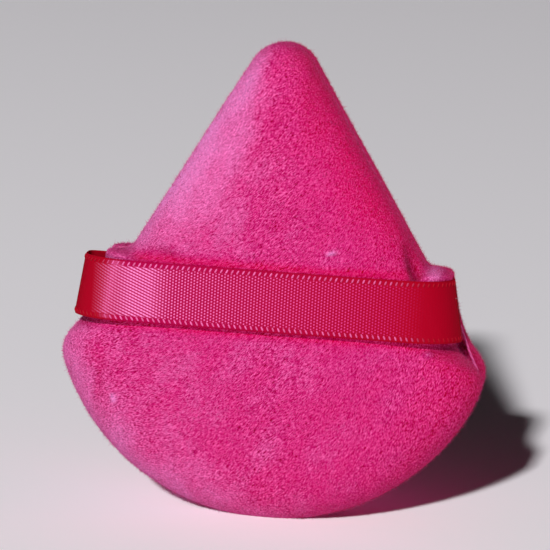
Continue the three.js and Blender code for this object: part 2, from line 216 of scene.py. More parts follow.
class RibbonSizes(bpy.types.PropertyGroup):
    """Sizes of the finger ribbon."""

    width: length("Width", RIBBON_HIGH.z - RIBBON_LOW.z, "Width of the ribbon")
    thickness: length("Thickness", 0.00036, "Thickness of the ribbon")
    height: length("Height", (RIBBON_HIGH.z + RIBBON_LOW.z) / 2, "Height of its middle line")
    crown: length("Crown", 0.0105, "Distance of its middle from the seam plane")
    slack_left: length("Slack left", 0.0029, "How far the left bend stands out from the cover's fullest line")
    slack_right: length("Slack right", 0.0002, "How far the right bend stands out from the cover's fullest line")
    splay_left: length("Splay left", 0.0014, "How much further the left bend stands out at the lower edge")
    splay_right: length("Splay right", 0.002, "How much further the right bend stands out at the lower edge")
    pull: length("Pull", 0.002, "How far the right bend draws in the cover under it")
    turn: length("Turn", 0.0012, "Radius of the bend into the seam")
    tail_trim: length("Tail trim", 0.002, "How much shorter a tail is than the seam allowance")
    twill_pitch: length("Twill pitch", 0.00047, "Distance between two rows of floats")
    twill_shift: fraction("Twill shift", 0.353, "Share of a float by which each row is set off")
    twill_angle: angle("Twill angle", 22.4, "Fall of the rows of floats to the right")
    float_length: length("Float length", 0.00055, "Length of one float along its row")
    float_relief: length("Float relief", 0.00005, "Height of a float")
    selvedge: length("Selvedge", 0.0006, "Distance of the edge stitches from the edge")
    stitch_pitch: length("Stitch pitch", 0.00092, "Distance between two edge stitches")
    stitch_length: length("Stitch length", 0.00072, "Length of an edge stitch")
    stitch_width: length("Stitch width", 0.00032, "Width of an edge stitch")
    lift_start: length("Lift start", 0.029, "Distance from the middle at which the ribbon starts to lift")


class PuffColours(bpy.types.PropertyGroup):
    """Colours of the fabrics, as linear values."""

    # The velour's tones run from deep to tip colour by the pile's grain and by painted light: tip colour where the
    # surface faces left and down, deep colour where it faces right
    velour_deep: colour("Velour deep", (0.52, 0.0010, 0.092), "Velour between its clumps of pile")
    velour_face: colour("Velour", (0.49, 0.023, 0.158), "Velour at the middle of its pile")
    velour_tip: colour("Velour tips", (0.73, 0.265, 0.620), "Velour at the tips of its pile")
    # Painted shade: colour the velour takes in the seam's valley, in folds and in the gaps under the ribbon's ends
    velour_painted_shade: colour("Velour valley", (0.05, 0.0, 0.008), "Velour deep in the seam and in folds")
    velour_grain: colour("Velour grain", (0.70, 0.13, 0.34), "Strength of the grain in each colour")
    velour_sheen: colour("Velour sheen", (1.0, 0.55, 0.95), "Sheen of the pile at grazing angles")
    fibre_light: colour("Light fibres", (0.62, 0.10, 0.30), "Loose fibres that catch the light")
    # Painted highlight: the floats take this colour only where the painted gleam lies, and the paler tint below at the
    # ribbon's left
    satin: colour("Satin", (1.0, 0.065, 0.430), "Satin ribbon")
    satin_painted_highlight: colour("Satin gleam", (1.0, 0.300, 0.690), "Satin where it gleams")
    satin_dark: colour("Satin shade", (0.34, 0.0002, 0.011), "Satin between its floats")
    # Painted light: the ground between the floats turns to this pinker colour where the ribbon faces the light
    satin_painted_light: colour("Satin shade in light", (0.35, 0.0002, 0.047), "Satin between its floats where it gleams")
    # Painted highlight: colour of the edge stitches where the ribbon is lit, fading to the satin's shade at the bends
    stitch: colour("Edge stitches", (0.76, 0.13, 0.38), "Stitches along the ribbon's edges")
    sponge: colour("Sponge", (0.90, 0.74, 0.79), "Sponge filling")
    thread: colour("Thread", (0.74, 0.09, 0.32), "Sewing thread")
    floor: colour("Floor", (0.98, 0.95, 0.99), "Floor and backdrop")


class StageSettings(bpy.types.PropertyGroup):
    """Camera and light."""

    camera_turn: angle("Camera turn", 5.26, "Turn of the camera to the puff's right")
    camera_rise: angle("Camera rise", 7.5, "Elevation of the camera")
    camera_roll: angle("Camera roll", 3.6, "Lean of the puff to the right in the picture")
    camera_distance: length("Camera distance", 0.5, "Distance of the camera from the puff")
    frame_width: length("Frame width", 0.09307, "Width of the picture at the puff")
    shift_right: length("Shift right", -0.00054, "Centre of the picture, to the right of the base's centre")
    shift_up: length("Shift up", 0.00332, "Centre of the picture, above the base's centre")
    key_turn: angle("Key turn", -15, "Turn of the main light to the puff's right")
    key_rise: angle("Key rise", 37, "Elevation of the main light")
    key_distance: length("Key distance", 2.6, "Distance of the main light")
    key_size: length("Key size", 0.18, "Width of the main light")
    key_power: power("Key power", 61.0, "Power of the main light")
    floor_turn: angle("Floor turn", -8, "Turn of the beam on the floor to the puff's right")
    floor_rise: angle("Floor rise", 21, "Elevation of the beam on the floor")
    floor_distance: length("Floor distance", 4.5, "Distance of the beam on the floor")
    floor_size: length("Floor size", 0.2, "Width of the beam on the floor at its lamp")
    floor_power: power("Floor power", 355.0, "Power of the beam on the floor")
    right_turn: angle("Right turn", 50, "Turn of the low light on the right")
    right_power: power("Right power", 1.8, "Power of the low light on the right")
    left_turn: angle("Left turn", -42, "Turn of the low light on the left")
    left_power: power("Left power", 1.5, "Power of the low light on the left")
    back_turn: angle("Back turn", 145, "Turn to either side of the low lights behind the puff")
    back_power: power("Back power", 1.2, "Power of each low light behind the puff")
    side_rise: angle("Side rise", 2.5, "Elevation of the low lights beside the puff")
    back_rise: angle("Back rise", -1, "Elevation of the low lights behind the puff")
    side_distance: length("Side distance", 0.8, "Distance of the low lights")
    back_distance: length("Back distance", 0.45, "Distance of the low lights behind the puff")
    side_size: length("Side size", 0.12, "Width of the low lights beside the puff")
    back_size: length("Back size", 0.04, "Width of the low lights behind the puff")
    sky: fraction("Sky", 0.012, "Strength of the even light from all round")


def smooth_step(low, high, x):
    """0 below low, 1 above high and a smooth ramp between them."""
    t = np.clip((x - low) / (high - low), 0.0, 1.0)
    return t * t * (3 - 2 * t)


def bezier(points, steps):
    """Points of a quadratic or cubic curve, without its last point."""
    t = np.linspace(0, 1, steps, endpoint=False)[:, None]
    rows = [np.asarray(p, float)[None, :] for p in points]
    while len(rows) > 1:
        rows = [a * (1 - t) + b * t for a, b in zip(rows, rows[1:])]
    return rows[0] + 0 * t


def arc(centre, radius, start, end, steps):
    """Points of an arc, without its last point."""
    a = np.linspace(start, end, steps, endpoint=False)
    return np.stack([centre[0] + radius * np.cos(a), centre[1] + radius * np.sin(a)], 1)


class Edge:
    """The puff's outline seen from the ribbon side, clockwise from the tip."""

    def __init__(self, s):
        self.centre = np.array([0.0, s.base_radius - s.foot_depth])
        tip_half = s.tip_angle / 2
        side_down = np.array([math.sin(tip_half), -math.cos(tip_half)])
        tip = np.array([0.0, s.height - s.tip_radius])
        side = tip + s.tip_radius * np.array([math.cos(tip_half), math.sin(tip_half)])
        waist = side + side_down * (side[1] - s.waist_height) / math.cos(tip_half)
        shoulder = waist + (s.shoulder_step, -s.shoulder_drop)
        drop = s.corner_height - self.centre[1]
        corner = np.array([math.sqrt(s.base_radius**2 - drop**2), s.corner_height])
        chord = (corner - shoulder) / np.linalg.norm(corner - shoulder)
        inward = np.array([chord[1], -chord[0]])
        draw = (shoulder + corner) / 2 + inward * 2 * s.side_draw
        side_end = corner + (draw - corner) / np.linalg.norm(draw - corner) * s.corner_reach
        arc_start = math.atan2(drop, corner[0]) - s.corner_reach / s.base_radius
        arc_point = self.centre + s.base_radius * np.array([math.cos(arc_start), math.sin(arc_start)])
        swell = np.array([0.0, s.shoulder_swell])
        side_normal = np.array([math.cos(tip_half), math.sin(tip_half)])
        half = np.vstack([
            arc(tip, s.tip_radius, math.pi / 2, tip_half, 200),
            bezier([side, waist], 300),
            bezier([waist, waist + side_down * s.shoulder_swell, shoulder + swell, shoulder], 200),
            bezier([shoulder, draw, side_end], 300),
            bezier([side_end, corner, arc_point], 150),
            arc(self.centre, s.base_radius, arc_start, -math.pi / 2, 500),
            [self.centre - (0.0, s.base_radius)],
        ])
        loop = np.vstack([half, half[-2:0:-1] * (-1, 1)])
        loop[:, 0] -= s.tip_lean * np.clip((loop[:, 1] - waist[1]) / (s.height - waist[1]), 0, None)
        self.points = np.vstack([loop, loop[:1]])
        steps = np.linalg.norm(np.diff(self.points, axis=0), axis=1)
        self.length = steps.sum()
        self.share = np.concatenate([[0.0], np.cumsum(steps)]) / self.length
        even = np.linspace(0, 1, 2400, endpoint=False)
        spaced = self.spot(even)
        along = np.roll(spaced, -6, 0) - np.roll(spaced, 6, 0)
        outward = np.stack([-along[:, 1], along[:, 0]], 1)
        self.outward = outward / np.linalg.norm(outward, axis=1)[:, None]
        least = (waist - self.centre) @ side_normal
        support = np.maximum(((spaced - self.centre) * self.outward).sum(1), least)
        for _ in range(2):
            support = np.mean([np.roll(support, m) for m in range(-50, 51)], axis=0)
        self.support = support

    def spot(self, share):
        """Points of the outline at shares of its length."""
        return np.stack([np.interp(share, self.share, self.points[:, k]) for k in (0, 1)], -1)

    def normal(self, share):
        """Outward normals at shares of the outline's length."""
        at = np.linspace(0, 1, len(self.outward) + 1)
        closed = np.vstack([self.outward, self.outward[:1]])
        return np.stack([np.interp(share, at, closed[:, k]) for k in (0, 1)], -1)

    def run(self, share, inset, dome):
        """Share of the way to the centre at an inset from the outline, or further in on the dome."""
        at = np.linspace(0, 1, len(self.support) + 1)
        low = inset / np.interp(share, at, np.append(self.support, self.support[0]))
        return low + (1 - low) * dome

    def ring(self, share, depth, draw):
        """Outline moved in by a depth, then drawn towards the centre by a share."""
        inner = self.spot(share) - self.normal(share) * np.asarray(depth)[..., None]
        return inner + (self.centre - inner) * np.asarray(draw)[..., None]

    def reach(self, heights):
        """Half width of the outline below the waist at some heights."""
        right = self.points[: len(self.points) // 2]
        below = right[np.argmax(right[:, 1] < 0.046):]
        down = below[below[:, 0] > 0.02]
        return np.interp(heights, down[::-1, 1], down[::-1, 0])


def grid_quads(index):
    """Four-cornered faces of a grid of corners."""
    return np.stack([index[:-1, :-1], index[1:, :-1], index[1:, 1:], index[:-1, 1:]], -1).reshape(-1, 4)


def off_seam(flat, y):
    """Points of an outline set at a distance from the seam plane."""
    return np.stack([flat[:, 0], SEAM_PLANE + y, flat[:, 1]], 1)


def disc_grid(rings):
    """Ring number, share round the ring and quads of a square grid laid over a disc."""
    count = 2 * rings + 1
    span = np.arange(-rings, rings + 1)
    i, j = np.meshgrid(span, span, indexing="ij")
    k = np.maximum(abs(i), abs(j))
    t = np.select([j == k, i == k, j == -k], [i, 2 * k - j, 4 * k - i], 6 * k + j)
    share = np.mod(t / np.maximum(8 * k, 1), 1.0)
    index = np.arange(count * count).reshape(count, count)
    quads = grid_quads(index)
    rim = index[k == rings][np.argsort(share[k == rings], kind="stable")]
    return k.ravel(), share.ravel(), quads, rim


def lip_depth(s, height, face, pull):
    """Depth at which a cover's rounded lip stands a height off the seam plane."""
    drop = np.clip((s.rim_offset - height) / (s.rim_offset - face), -1, 1)
    return s.seam_depth - (s.seam_depth - pull) * np.sqrt(1 - drop**2)


def section(s, rings, lip):
    """Dome share, border angle and lip angle at even steps from the crown's pole to the rim, or on to the seam."""
    wide = 0.8 * s.base_radius
    dome = np.linspace(1, 0, 200)
    border = np.linspace(math.pi / 2, 0, 300)[1:]
    round_lip = np.linspace(0, math.pi / 2, 160)[1:] if lip else np.zeros(0)
    share = np.concatenate([dome, 0 * border, 0 * round_lip])
    angle = np.concatenate([np.full(len(dome), math.pi / 2), border, 0 * round_lip])
    turn = np.concatenate([0 * dome, 0 * border, round_lip])
    low = s.roll_width * (1 - np.cos(angle)) / wide
    x = wide * (1 - low) * (1 - share) - s.seam_depth * (1 - np.cos(turn))
    y = (s.half_thickness - s.rim_offset) * np.sin(angle) - s.rim_offset * np.sin(turn)
    walk = np.concatenate([[0.0], np.cumsum(np.hypot(np.diff(x), np.diff(y)))])
    at = np.linspace(0, walk[-1], rings + 1)
    return np.interp(at, walk, share), np.interp(at, walk, angle), np.interp(at, walk, turn)


def crown_height(s, top, rise, run):
    """Height off the seam plane of a border with a share of its rise, on a dome with a share of its run."""
    return s.rim_offset + (top - s.dome_rise - s.rim_offset) * rise + s.dome_rise * (1 - (1 - run) ** 2)


def ribbon_pull(r, edge, share, side):
    """How far the ribbon's right bend draws in one side of the pad."""
    spot = edge.spot(share)
    off = (spot[..., 1] - r.height + r.width / 2) / (r.width / 2)
    return r.pull * np.exp(-(off**2)) * (spot[..., 0] > 0) * (side < 0)


def crown_skin(s, r, edge, rings, depth, side):
    """Corners on a disc grid of a layer that lies a depth inside a cover, from its pole to its rim."""
    k, share, quads, rim = disc_grid(rings)
    dome, angle, _ = (column[k] for column in section(s, rings, False))
    run = edge.run(share, s.roll_width * (1 - np.cos(angle)), dome)
    flat = edge.ring(share, depth + ribbon_pull(r, edge, share, side), run)
    y = crown_height(s, s.half_thickness - depth, np.sin(angle), run)
    return off_seam(flat, side * y), quads, rim


def seam_face(s, r, edge, share, side):
    """Distance of a cover's lip from the seam plane, wider where a ribbon tail goes in."""
    spot = edge.spot(share)
    room = r.width / 2 + s.clearance
    near = smooth_step(room + 0.0012, room, abs(spot[..., 1] - r.height)) * (abs(spot[..., 0]) > 0.02)
    pocket = r.thickness / 2 + s.clearance + (0.0007 if side > 0 else 0.0)
    return s.seam_gap / 2 + (pocket - s.seam_gap / 2) * near


def cover_skin(s, r, edge, rings, side):
    """Corners of a cover's outside on a disc grid, from the crown's pole to the seam."""
    k, share, quads, rim = disc_grid(rings)
    dome, angle, turn = (column[k] for column in section(s, rings, True))
    face = seam_face(s, r, edge, share, side)
    depth = s.seam_depth - (s.seam_depth - ribbon_pull(r, edge, share, side)) * np.cos(turn)
    run = edge.run(share, s.roll_width * (1 - np.cos(angle)), dome)
    y = crown_height(s, s.half_thickness, np.sin(angle), run) - (s.rim_offset - face) * np.sin(turn)
    flat = edge.ring(share, depth, run)
    return off_seam(flat, side * y), quads if side < 0 else quads[:, ::-1], rim


def new_mesh(name, points, faces):
    """Smooth mesh object from points and faces, linked to the scene."""
    mesh = bpy.data.meshes.new(name)
    mesh.from_pydata(np.asarray(points).tolist(), [], faces)
    mesh.update()
    mesh.polygons.foreach_set("use_smooth", np.ones(len(mesh.polygons), bool))
    piece = bpy.data.objects.new(name, mesh)
    bpy.context.scene.collection.objects.link(piece)
    return piece


def store(piece, name, kind, values, domain="POINT"):
    """Keeps a value for each corner or edge of a mesh under a name."""
    field = "vector" if kind == "FLOAT_VECTOR" else "value"
    piece.data.attributes.new(name, kind, domain).data.foreach_set(field, np.ravel(values))


def lay_flat(piece, corners):
    """Gives a piece a flat layout of its faces for baking its finish, with one place for each corner of each face."""
    layer = piece.data.uv_layers.new(name="OFBake", do_init=False)
    layer.data.foreach_set("uv", np.asarray(corners, np.float32).ravel())


def grid_places(rings, patch):
    """Place of each corner of a disc grid in a square of the flat layout."""
    start, width = patch
    count = 2 * rings + 1
    at = np.arange(count * count)
    return start + width * np.stack([at // count, at % count], 1) / (count - 1)


def corners_of(piece):
    """Positions and normals of a mesh's corners."""
    mesh = piece.data
    co = np.empty(len(mesh.vertices) * 3, np.float32)
    mesh.vertices.foreach_get("co", co)
    normal = np.empty(len(mesh.vertices) * 3, np.float32)
    mesh.vertex_normals.foreach_get("vector", normal)
    return co.reshape(-1, 3).astype(float), normal.reshape(-1, 3).astype(float)


def swelling(points, quads, held):
    """How far filling pressure pushes each corner of a coarse cover out along its normal, by a short cloth run."""
    piece = new_mesh("swell_try", points * SWELL_SCALE, quads.tolist())
    start, normal = corners_of(piece)
    group = piece.vertex_groups.new(name="seam")
    group.add([int(i) for i in held], 1.0, "REPLACE")
    cloth = piece.modifiers.new("Swell", "CLOTH")
    cloth.settings.quality = 6
    cloth.settings.mass = 0.3
    cloth.settings.tension_stiffness = 15
    cloth.settings.compression_stiffness = 15
    cloth.settings.shear_stiffness = 5
    cloth.settings.bending_stiffness = 1.5
    cloth.settings.use_pressure = True
    cloth.settings.uniform_pressure_force = 4.0
    cloth.settings.vertex_group_mass = "seam"
    cloth.settings.effector_weights.gravity = 0.0
    cloth.collision_settings.use_collision = False
    cloth.point_cache.frame_start = 1
    cloth.point_cache.frame_end = SWELL_FRAMES
    scene = bpy.context.scene
    for step in range(1, SWELL_FRAMES + 1):
        scene.frame_set(step)
    shaped = piece.evaluated_get(bpy.context.evaluated_depsgraph_get())
    mesh = shaped.to_mesh()
    end = np.empty(len(mesh.vertices) * 3, np.float32)
    mesh.vertices.foreach_get("co", end)
    shaped.to_mesh_clear()
    out = ((end.reshape(-1, 3) - start) * normal).sum(1) / SWELL_SCALE
    scene.frame_set(1)
    bpy.data.objects.remove(piece)
    return out


def upsample(field, factor):
    """Smoothly finer copy of a square field of values."""
    for _ in range(2):
        n = len(field)
        at = np.arange((n - 1) * factor + 1) / factor
        i = np.clip(at.astype(int), 0, n - 2)
        t = (at - i)[:, None]
        p = [field[np.clip(i + d, 0, n - 1)] for d in (-1, 0, 1, 2)]
        field = 0.5 * (
            2 * p[1] + (p[2] - p[0]) * t + (2 * p[0] - 5 * p[1] + 4 * p[2] - p[3]) * t**2
            + (3 * p[1] - p[0] - 3 * p[2] + p[3]) * t**3
        )
        field = field.T
    return field


def soften(field, reach):
    """Square field of values, each averaged over a window round it."""
    for _ in range(2):
        padded = np.pad(field, ((reach, reach), (0, 0)), mode="edge")
        field = np.mean([padded[m : m + len(field)] for m in range(2 * reach + 1)], axis=0).T
    return field


def grain(points, size, angle, stretch):
    """Noise from about -1 to 1 whose grains lie at an angle in the face of the puff."""
    c, n = math.cos(angle), math.sin(angle)
    along = (points[:, 0] * c + points[:, 2] * n) / (size * stretch)
    across = (points[:, 2] * c - points[:, 0] * n) / size
    deep = points[:, 1] / size
    return np.array([noise.noise(p) for p in np.stack([along, across, deep], 1).tolist()])


def nap_angle(points):
    """Lie of the brushed pile: flatter on the left, steeper on the right."""
    return NAP_MIDDLE + NAP_TURN * np.clip(points[:, 0] / NAP_REACH, -1, 1)


def brushed(points, size, stretch):
    """Grain that follows the lie of the pile."""
    t = (nap_angle(points) - NAP_MIDDLE + NAP_TURN) / (2 * NAP_TURN)
    left, right = (grain(points, size, a, stretch) for a in (NAP_MIDDLE - NAP_TURN, NAP_MIDDLE + NAP_TURN))
    mid = grain(points + 0.31, size, NAP_MIDDLE, stretch)
    w_left, w_right = np.clip(1 - 2 * t, 0, 1), np.clip(2 * t - 1, 0, 1)
    w_mid = 1 - w_left - w_right
    level = np.sqrt(w_left**2 + w_mid**2 + w_right**2)
    return (left * w_left + mid * w_mid + right * w_right) / level


def dent(points, x, z, wide, tall, lean):
    """Soft spot with value 1 at a point of the face and 0 away from it."""
    c, n = math.cos(lean), math.sin(lean)
    u = ((points[:, 0] - x) * c + (points[:, 2] - z) * n) / wide
    v = ((points[:, 2] - z) * c - (points[:, 0] - x) * n) / tall
    return np.exp(-(u**2) - v**2)


def cover_fullness(s, r, edge, side):
    """How far the filling pushes each corner of a cover's outside out, from a cloth run on a coarse copy."""
    coarse, coarse_quads, _ = cover_skin(s, r, edge, LINING_RINGS, side)
    held = np.flatnonzero(disc_grid(LINING_RINGS)[0] >= LINING_RINGS - HELD_RINGS)
    out = swelling(coarse, coarse_quads, held)
    out *= FULLER / max(float(np.percentile(out, 98)), 1e-9)
    count = 2 * LINING_RINGS + 1
    return upsample(np.clip(out, 0.0, 1.2 * FULLER).reshape(count, count), COVER_RINGS // LINING_RINGS).ravel()


def painted_pile_light_and_shade(r, points, normal, ring, side):
    """Painted light and shade of the pile, before its grain: paler where the surface faces left and down and towards
    the puff's left, a painted shadow beside the ribbon, and painted shade in the valley of the seam, which is also
    returned.
    """
    x, z = points[:, 0], points[:, 2]
    above = smooth_step(0.040, 0.058, z)
    wide = 2 * COVER_RINGS + 1
    slant, tilt = (soften(soften(normal[:, m].reshape(wide, wide), 8), 8).ravel() for m in (0, 2))
    # Painted light: paler where the surface faces left and down, and across the face towards the left
    light_by_slant, light_by_tilt = 0.31 + 0.13 * above, 0.12
    light_by_place, light_by_width = 1.5 + 5.0 * above, 80.0 - 40.0 * above
    lie = 0.45 - light_by_slant * slant - light_by_tilt * tilt - light_by_place * x - light_by_width * x**2
    # Painted shadow in a band along the ribbon's edges, on the ribbon side only
    beside = (abs(z - r.height) - r.width / 2 - 0.0003) / 0.0009
    free = smooth_step(0.0225, 0.025, abs(x)) * (z > r.height)
    shadow = 0.4 * np.exp(-(beside**2)) * (1 - free) * (side < 0)
    shoulder = smooth_step(0.0405, 0.0425, z) * smooth_step(0.0475, 0.0455, z)
    # Painted shade deep in the seam's valley, weaker on the shoulders
    valley = smooth_step(0.925, 0.975, ring) * (1 - 0.7 * shoulder)
    return lie - shadow - 0.5 * valley, valley


def allowance_rings(s, r, edge, side):
    """Rings of a cover's seam allowance: in along the seam, round its cut edge and back to the lip."""
    share = np.arange(8 * LINING_RINGS) / (8 * LINING_RINGS)
    face = seam_face(s, r, edge, share, side)
    pull = ribbon_pull(r, edge, share, side)
    inside = np.maximum(s.seam_gap / 2 + s.cover_wall, face + 0.0005)
    allowance = np.full(len(share), s.seam_allowance / s.base_radius)
    depth = np.full(len(share), s.seam_depth)
    turned = (
        (depth, allowance, face),
        (depth, allowance, inside),
        (s.cover_wall + lip_depth(s, inside, face, pull), 0 * allowance, inside),
    )
    return [off_seam(edge.ring(share, deep, drawn), side * y) for deep, drawn, y in turned]


def allowance_faces(first, rim, lining_rim, side):
    """Faces from a cover's rim over its seam allowance to its lining, and the place of their corners when laid flat."""
    faces, places = [], []
    count = len(lining_rim)
    step = len(rim) // count
    half = step // 2
    for a in range(count):
        b = (a + 1) % count
        fine_run = [(int(rim[(a * step + m) % len(rim)]), a + m / step, 0) for m in range(step + 1)]
        rows = [((first + m * count + a, a, m + 1), (first + m * count + b, a + 1, m + 1)) for m in range(3)]
        rows.append(tuple((first + 3 * count + int(lining_rim[n]), a + m, 4) for m, n in enumerate((a, b))))
        fans = [(fine_run[m + 1], fine_run[m], rows[0][m >= half]) for m in range(step)]
        fans.append((fine_run[half], *rows[0]))
        fans += [(here[1], here[0], *there) for here, there in zip(rows, rows[1:])]
        for fan in fans:
            corners, along, row = zip(*(fan if side < 0 else fan[::-1]))
            faces.append(corners)
            places += [(OUTSIDE_PATCH[0] + OUTSIDE_PATCH[1] * u / count, BAND_START + BAND_STEP * v)
                       for u, v in zip(along, row)]
    return faces, places


def make_cover(s, r, p, edge, name, side):
    """One velour cover: brushed outside, rounded lip, turned-in seam allowance and lining."""
    points, quads, rim = cover_skin(s, r, edge, COVER_RINGS, side)
    fullness = cover_fullness(s, r, edge, side)
    skin = new_mesh("skin_try", points, quads.tolist())
    normal = corners_of(skin)[1]
    bpy.data.objects.remove(skin)
    clumps = brushed(points, p.clump_size, 2.3)
    fuzz = brushed(points + 0.17, p.clump_size * 0.5, 2.0)
    broad = grain(points + 0.53, 0.011, 0.6, 1.2)
    patches = brushed(points + 0.71, 0.0034, 1.6)
    ring = disc_grid(COVER_RINGS)[0] / COVER_RINGS
    loose = smooth_step(1.0, 0.93, ring)
    move = p.clump_relief * (clumps + 0.55 * fuzz) * (0.25 + 0.75 * loose) + p.dent_relief * broad * loose
    tone, shade = np.zeros(len(points)), np.zeros(len(points))
    # The marks paint shade into folds and gaps and light onto the right shoulder's bump, besides their dents and lint
    for x, z, wide, tall, lean, rise, paler, painted_shade in MARKS if side < 0 else ():
        spot = dent(points, x, z, wide, tall, lean)
        move += rise * spot
        tone += paler * spot
        shade += painted_shade * spot
    points = points + normal * (move + fullness * loose)[:, None]
    points[:, 2] = np.maximum(points[:, 2], 0.0)
    # Painted light and shade of the pile go into its tone, the seam's painted shade also into its shade value
    lie, valley = painted_pile_light_and_shade(r, points, normal, ring, side)
    pile = np.clip(lie + 0.08 * patches + 0.05 * clumps + 0.05 * fuzz + tone, 0, 1)
    shade = np.clip(shade + 0.4 * valley, 0, 1)

    rings = allowance_rings(s, r, edge, side)
    lining, lining_quads, lining_rim = crown_skin(s, r, edge, LINING_RINGS, s.cover_wall, side)
    if side < 0:
        lining_quads = lining_quads[:, ::-1]
    bands, band_places = allowance_faces(len(points), rim, lining_rim, side)
    lining_start = len(points) + len(rings) * len(lining_rim)
    faces = quads.tolist() + bands + (lining_quads + lining_start).tolist()
    everything = np.vstack([points, *rings, lining])
    everything[:, 2] = np.maximum(everything[:, 2], 0.0)
    cover = new_mesh(name, everything, faces)
    cover["outside_faces"] = len(quads)
    values = np.zeros((len(everything), 3), np.float32)
    values[:, 0] = 0.4
    values[: len(pile), 0], values[: len(pile), 1] = pile, shade
    # The pile attribute holds the tone with its painted light, and the painted shade
    store(cover, "pile", "FLOAT_VECTOR", values)
    outside = grid_places(COVER_RINGS, OUTSIDE_PATCH)[quads].reshape(-1, 2)
    inside = grid_places(LINING_RINGS, LINING_PATCH)[lining_quads].reshape(-1, 2)
    lay_flat(cover, np.vstack([outside, band_places, inside]))
    return cover


def new_material(name, roughness, **constants):
    """Material with a Principled shader whose constants are set on its own sockets."""
    material = bpy.data.materials.new(name)
    material.use_nodes = True
    shader = material.node_tree.nodes["Principled BSDF"]
    shader.inputs["Roughness"].default_value = roughness
    for socket, value in constants.items():
        shader.inputs[socket.replace("_", " ")].default_value = value
    return material, material.node_tree, shader


def add_node(tree, kind, **values):
    """Node with some of its sockets or settings filled in."""
    made = tree.nodes.new(kind)
    for name, value in values.items():
        socket = made.inputs.get(name.replace("_", " "))
        if socket is not None:
            socket.default_value = value
        else:
            setattr(made, name, value)
    return made


def feed(tree, value, socket):
    """Links a socket to another one, or sets it to a number or colour."""
    if isinstance(value, bpy.types.NodeSocket):
        tree.links.new(value, socket)
    else:
        socket.default_value = value


def mix_colours(tree, factor, first, second, blend_type="MIX"):
    """Colour mix of two sockets or colours."""
    made = add_node(tree, "ShaderNodeMix", data_type="RGBA", blend_type=blend_type)
    for value, socket in ((factor, 0), (first, 6), (second, 7)):
        feed(tree, value, made.inputs[socket])
    return made.outputs[2]


def calc(tree, operation, *values):
    """Result of a sum over sockets and numbers."""
    made = add_node(tree, "ShaderNodeMath", operation=operation)
    for socket, value in zip(made.inputs, values):
        feed(tree, value, socket)
    return made.outputs[0]


def ramp_up(tree, value, low, high, **ends):
    """Even ramp from 0 at low to 1 at high, or between other ends."""
    made = add_node(tree, "ShaderNodeMapRange", From_Min=low, From_Max=high, **ends)
    tree.links.new(value, made.inputs[0])
    return made.outputs[0]


def split(tree, vector):
    """The three parts of a vector."""
    made = tree.nodes.new("ShaderNodeSeparateXYZ")
    tree.links.new(vector, made.inputs[0])
    return made.outputs


def add_bump(tree, shader, height, strength, distance):
    """Gives a shader the small relief of a height."""
    bump = add_node(tree, "ShaderNodeBump", Strength=strength, Distance=distance)
    tree.links.new(height, bump.inputs["Height"])
    tree.links.new(bump.outputs["Normal"], shader.inputs["Normal"])


def opaque(rgb):
    """Colour with full alpha."""
    return (*rgb, 1.0)


def velour_material(c):
    """Brushed velour: deep between the clumps of pile, pale at their tips, with a grazing sheen. The tones also carry
    painted light, paler where the surface faces left and down, and painted shade in the seam, folds and beside the
    ribbon.
    """
    material, tree, shader = new_material("velour", 0.9, Specular_IOR_Level=0.05, Sheen_Weight=0.05,
                                          Sheen_Roughness=0.5, Sheen_Tint=opaque(c.velour_sheen))
    pile = add_node(tree, "ShaderNodeAttribute", attribute_name="pile")
    place = tree.nodes.new("ShaderNodeTexCoord").outputs["Object"]
    patch = add_node(tree, "ShaderNodeTexNoise", Scale=55.0, Detail=2.0)
    tree.links.new(place, patch.inputs["Vector"])
    across = split(tree, place)[0]
    fine = None
    for turn, low in ((22, 0.0), (45, -NAP_REACH), (68, 0.0)):
        lie = add_node(tree, "ShaderNodeMapping", vector_type="TEXTURE", Rotation=(0.0, -math.radians(turn), 0.0),
                       Scale=(2.8, 1.0, 1.0))
        tree.links.new(place, lie.inputs["Vector"])
        strokes = add_node(tree, "ShaderNodeTexNoise", Scale=5600.0, Detail=2.5, Roughness=0.6)
        tree.links.new(lie.outputs[0], strokes.inputs["Vector"])
        if fine is None:
            fine = strokes.outputs["Fac"]
            continue
        blended = tree.nodes.new("ShaderNodeMix")
        sources = (ramp_up(tree, across, low, low + NAP_REACH), 0), (fine, 2), (strokes.outputs["Fac"], 3)
        for value, socket in sources:
            tree.links.new(value, blended.inputs[socket])
        fine = blended.outputs[0]
    level, depth, _ = split(tree, pile.outputs["Vector"])
    tones = tree.nodes.new("ShaderNodeValToRGB")
    deep, tip = tones.color_ramp.elements
    deep.position, deep.color = 0.05, opaque(c.velour_deep)
    tip.position, tip.color = 1.0, opaque(c.velour_tip)
    tones.color_ramp.elements.new(0.45).color = opaque(c.velour_face)
    tree.links.new(calc(tree, "MULTIPLY_ADD", fine, 0.4, calc(tree, "SUBTRACT", level, 0.2)), tones.inputs[0])
    worn = ramp_up(tree, patch.outputs["Fac"], 0.35, 0.65, To_Min=0.0, To_Max=0.12)
    shade = mix_colours(tree, worn, tones.outputs[0], opaque(c.velour_deep))
    lit = add_node(tree, "ShaderNodeVectorMath", operation="MULTIPLY_ADD")
    lit.inputs[1].default_value = c.velour_grain
    tree.links.new(calc(tree, "MULTIPLY_ADD", fine, 2.0, -1.0), lit.inputs[0])
    tree.links.new(shade, lit.inputs[2])
    # Painted shade: the velour turns to the shade colour by the painted shade value
    painted_shade_mix = mix_colours(tree, depth, lit.outputs[0], opaque(c.velour_painted_shade))
    tree.links.new(painted_shade_mix, shader.inputs["Base Color"])
    add_bump(tree, shader, fine, 1.0, 0.00014)
    return material


def fibre_material(name, rgb, c):
    """Loose pile fibre of one tint."""
    return new_material(name, 0.75, Base_Color=opaque(rgb), Specular_IOR_Level=0.2, Sheen_Weight=0.15,
                        Sheen_Roughness=0.4, Sheen_Tint=opaque(c.velour_sheen))[0]


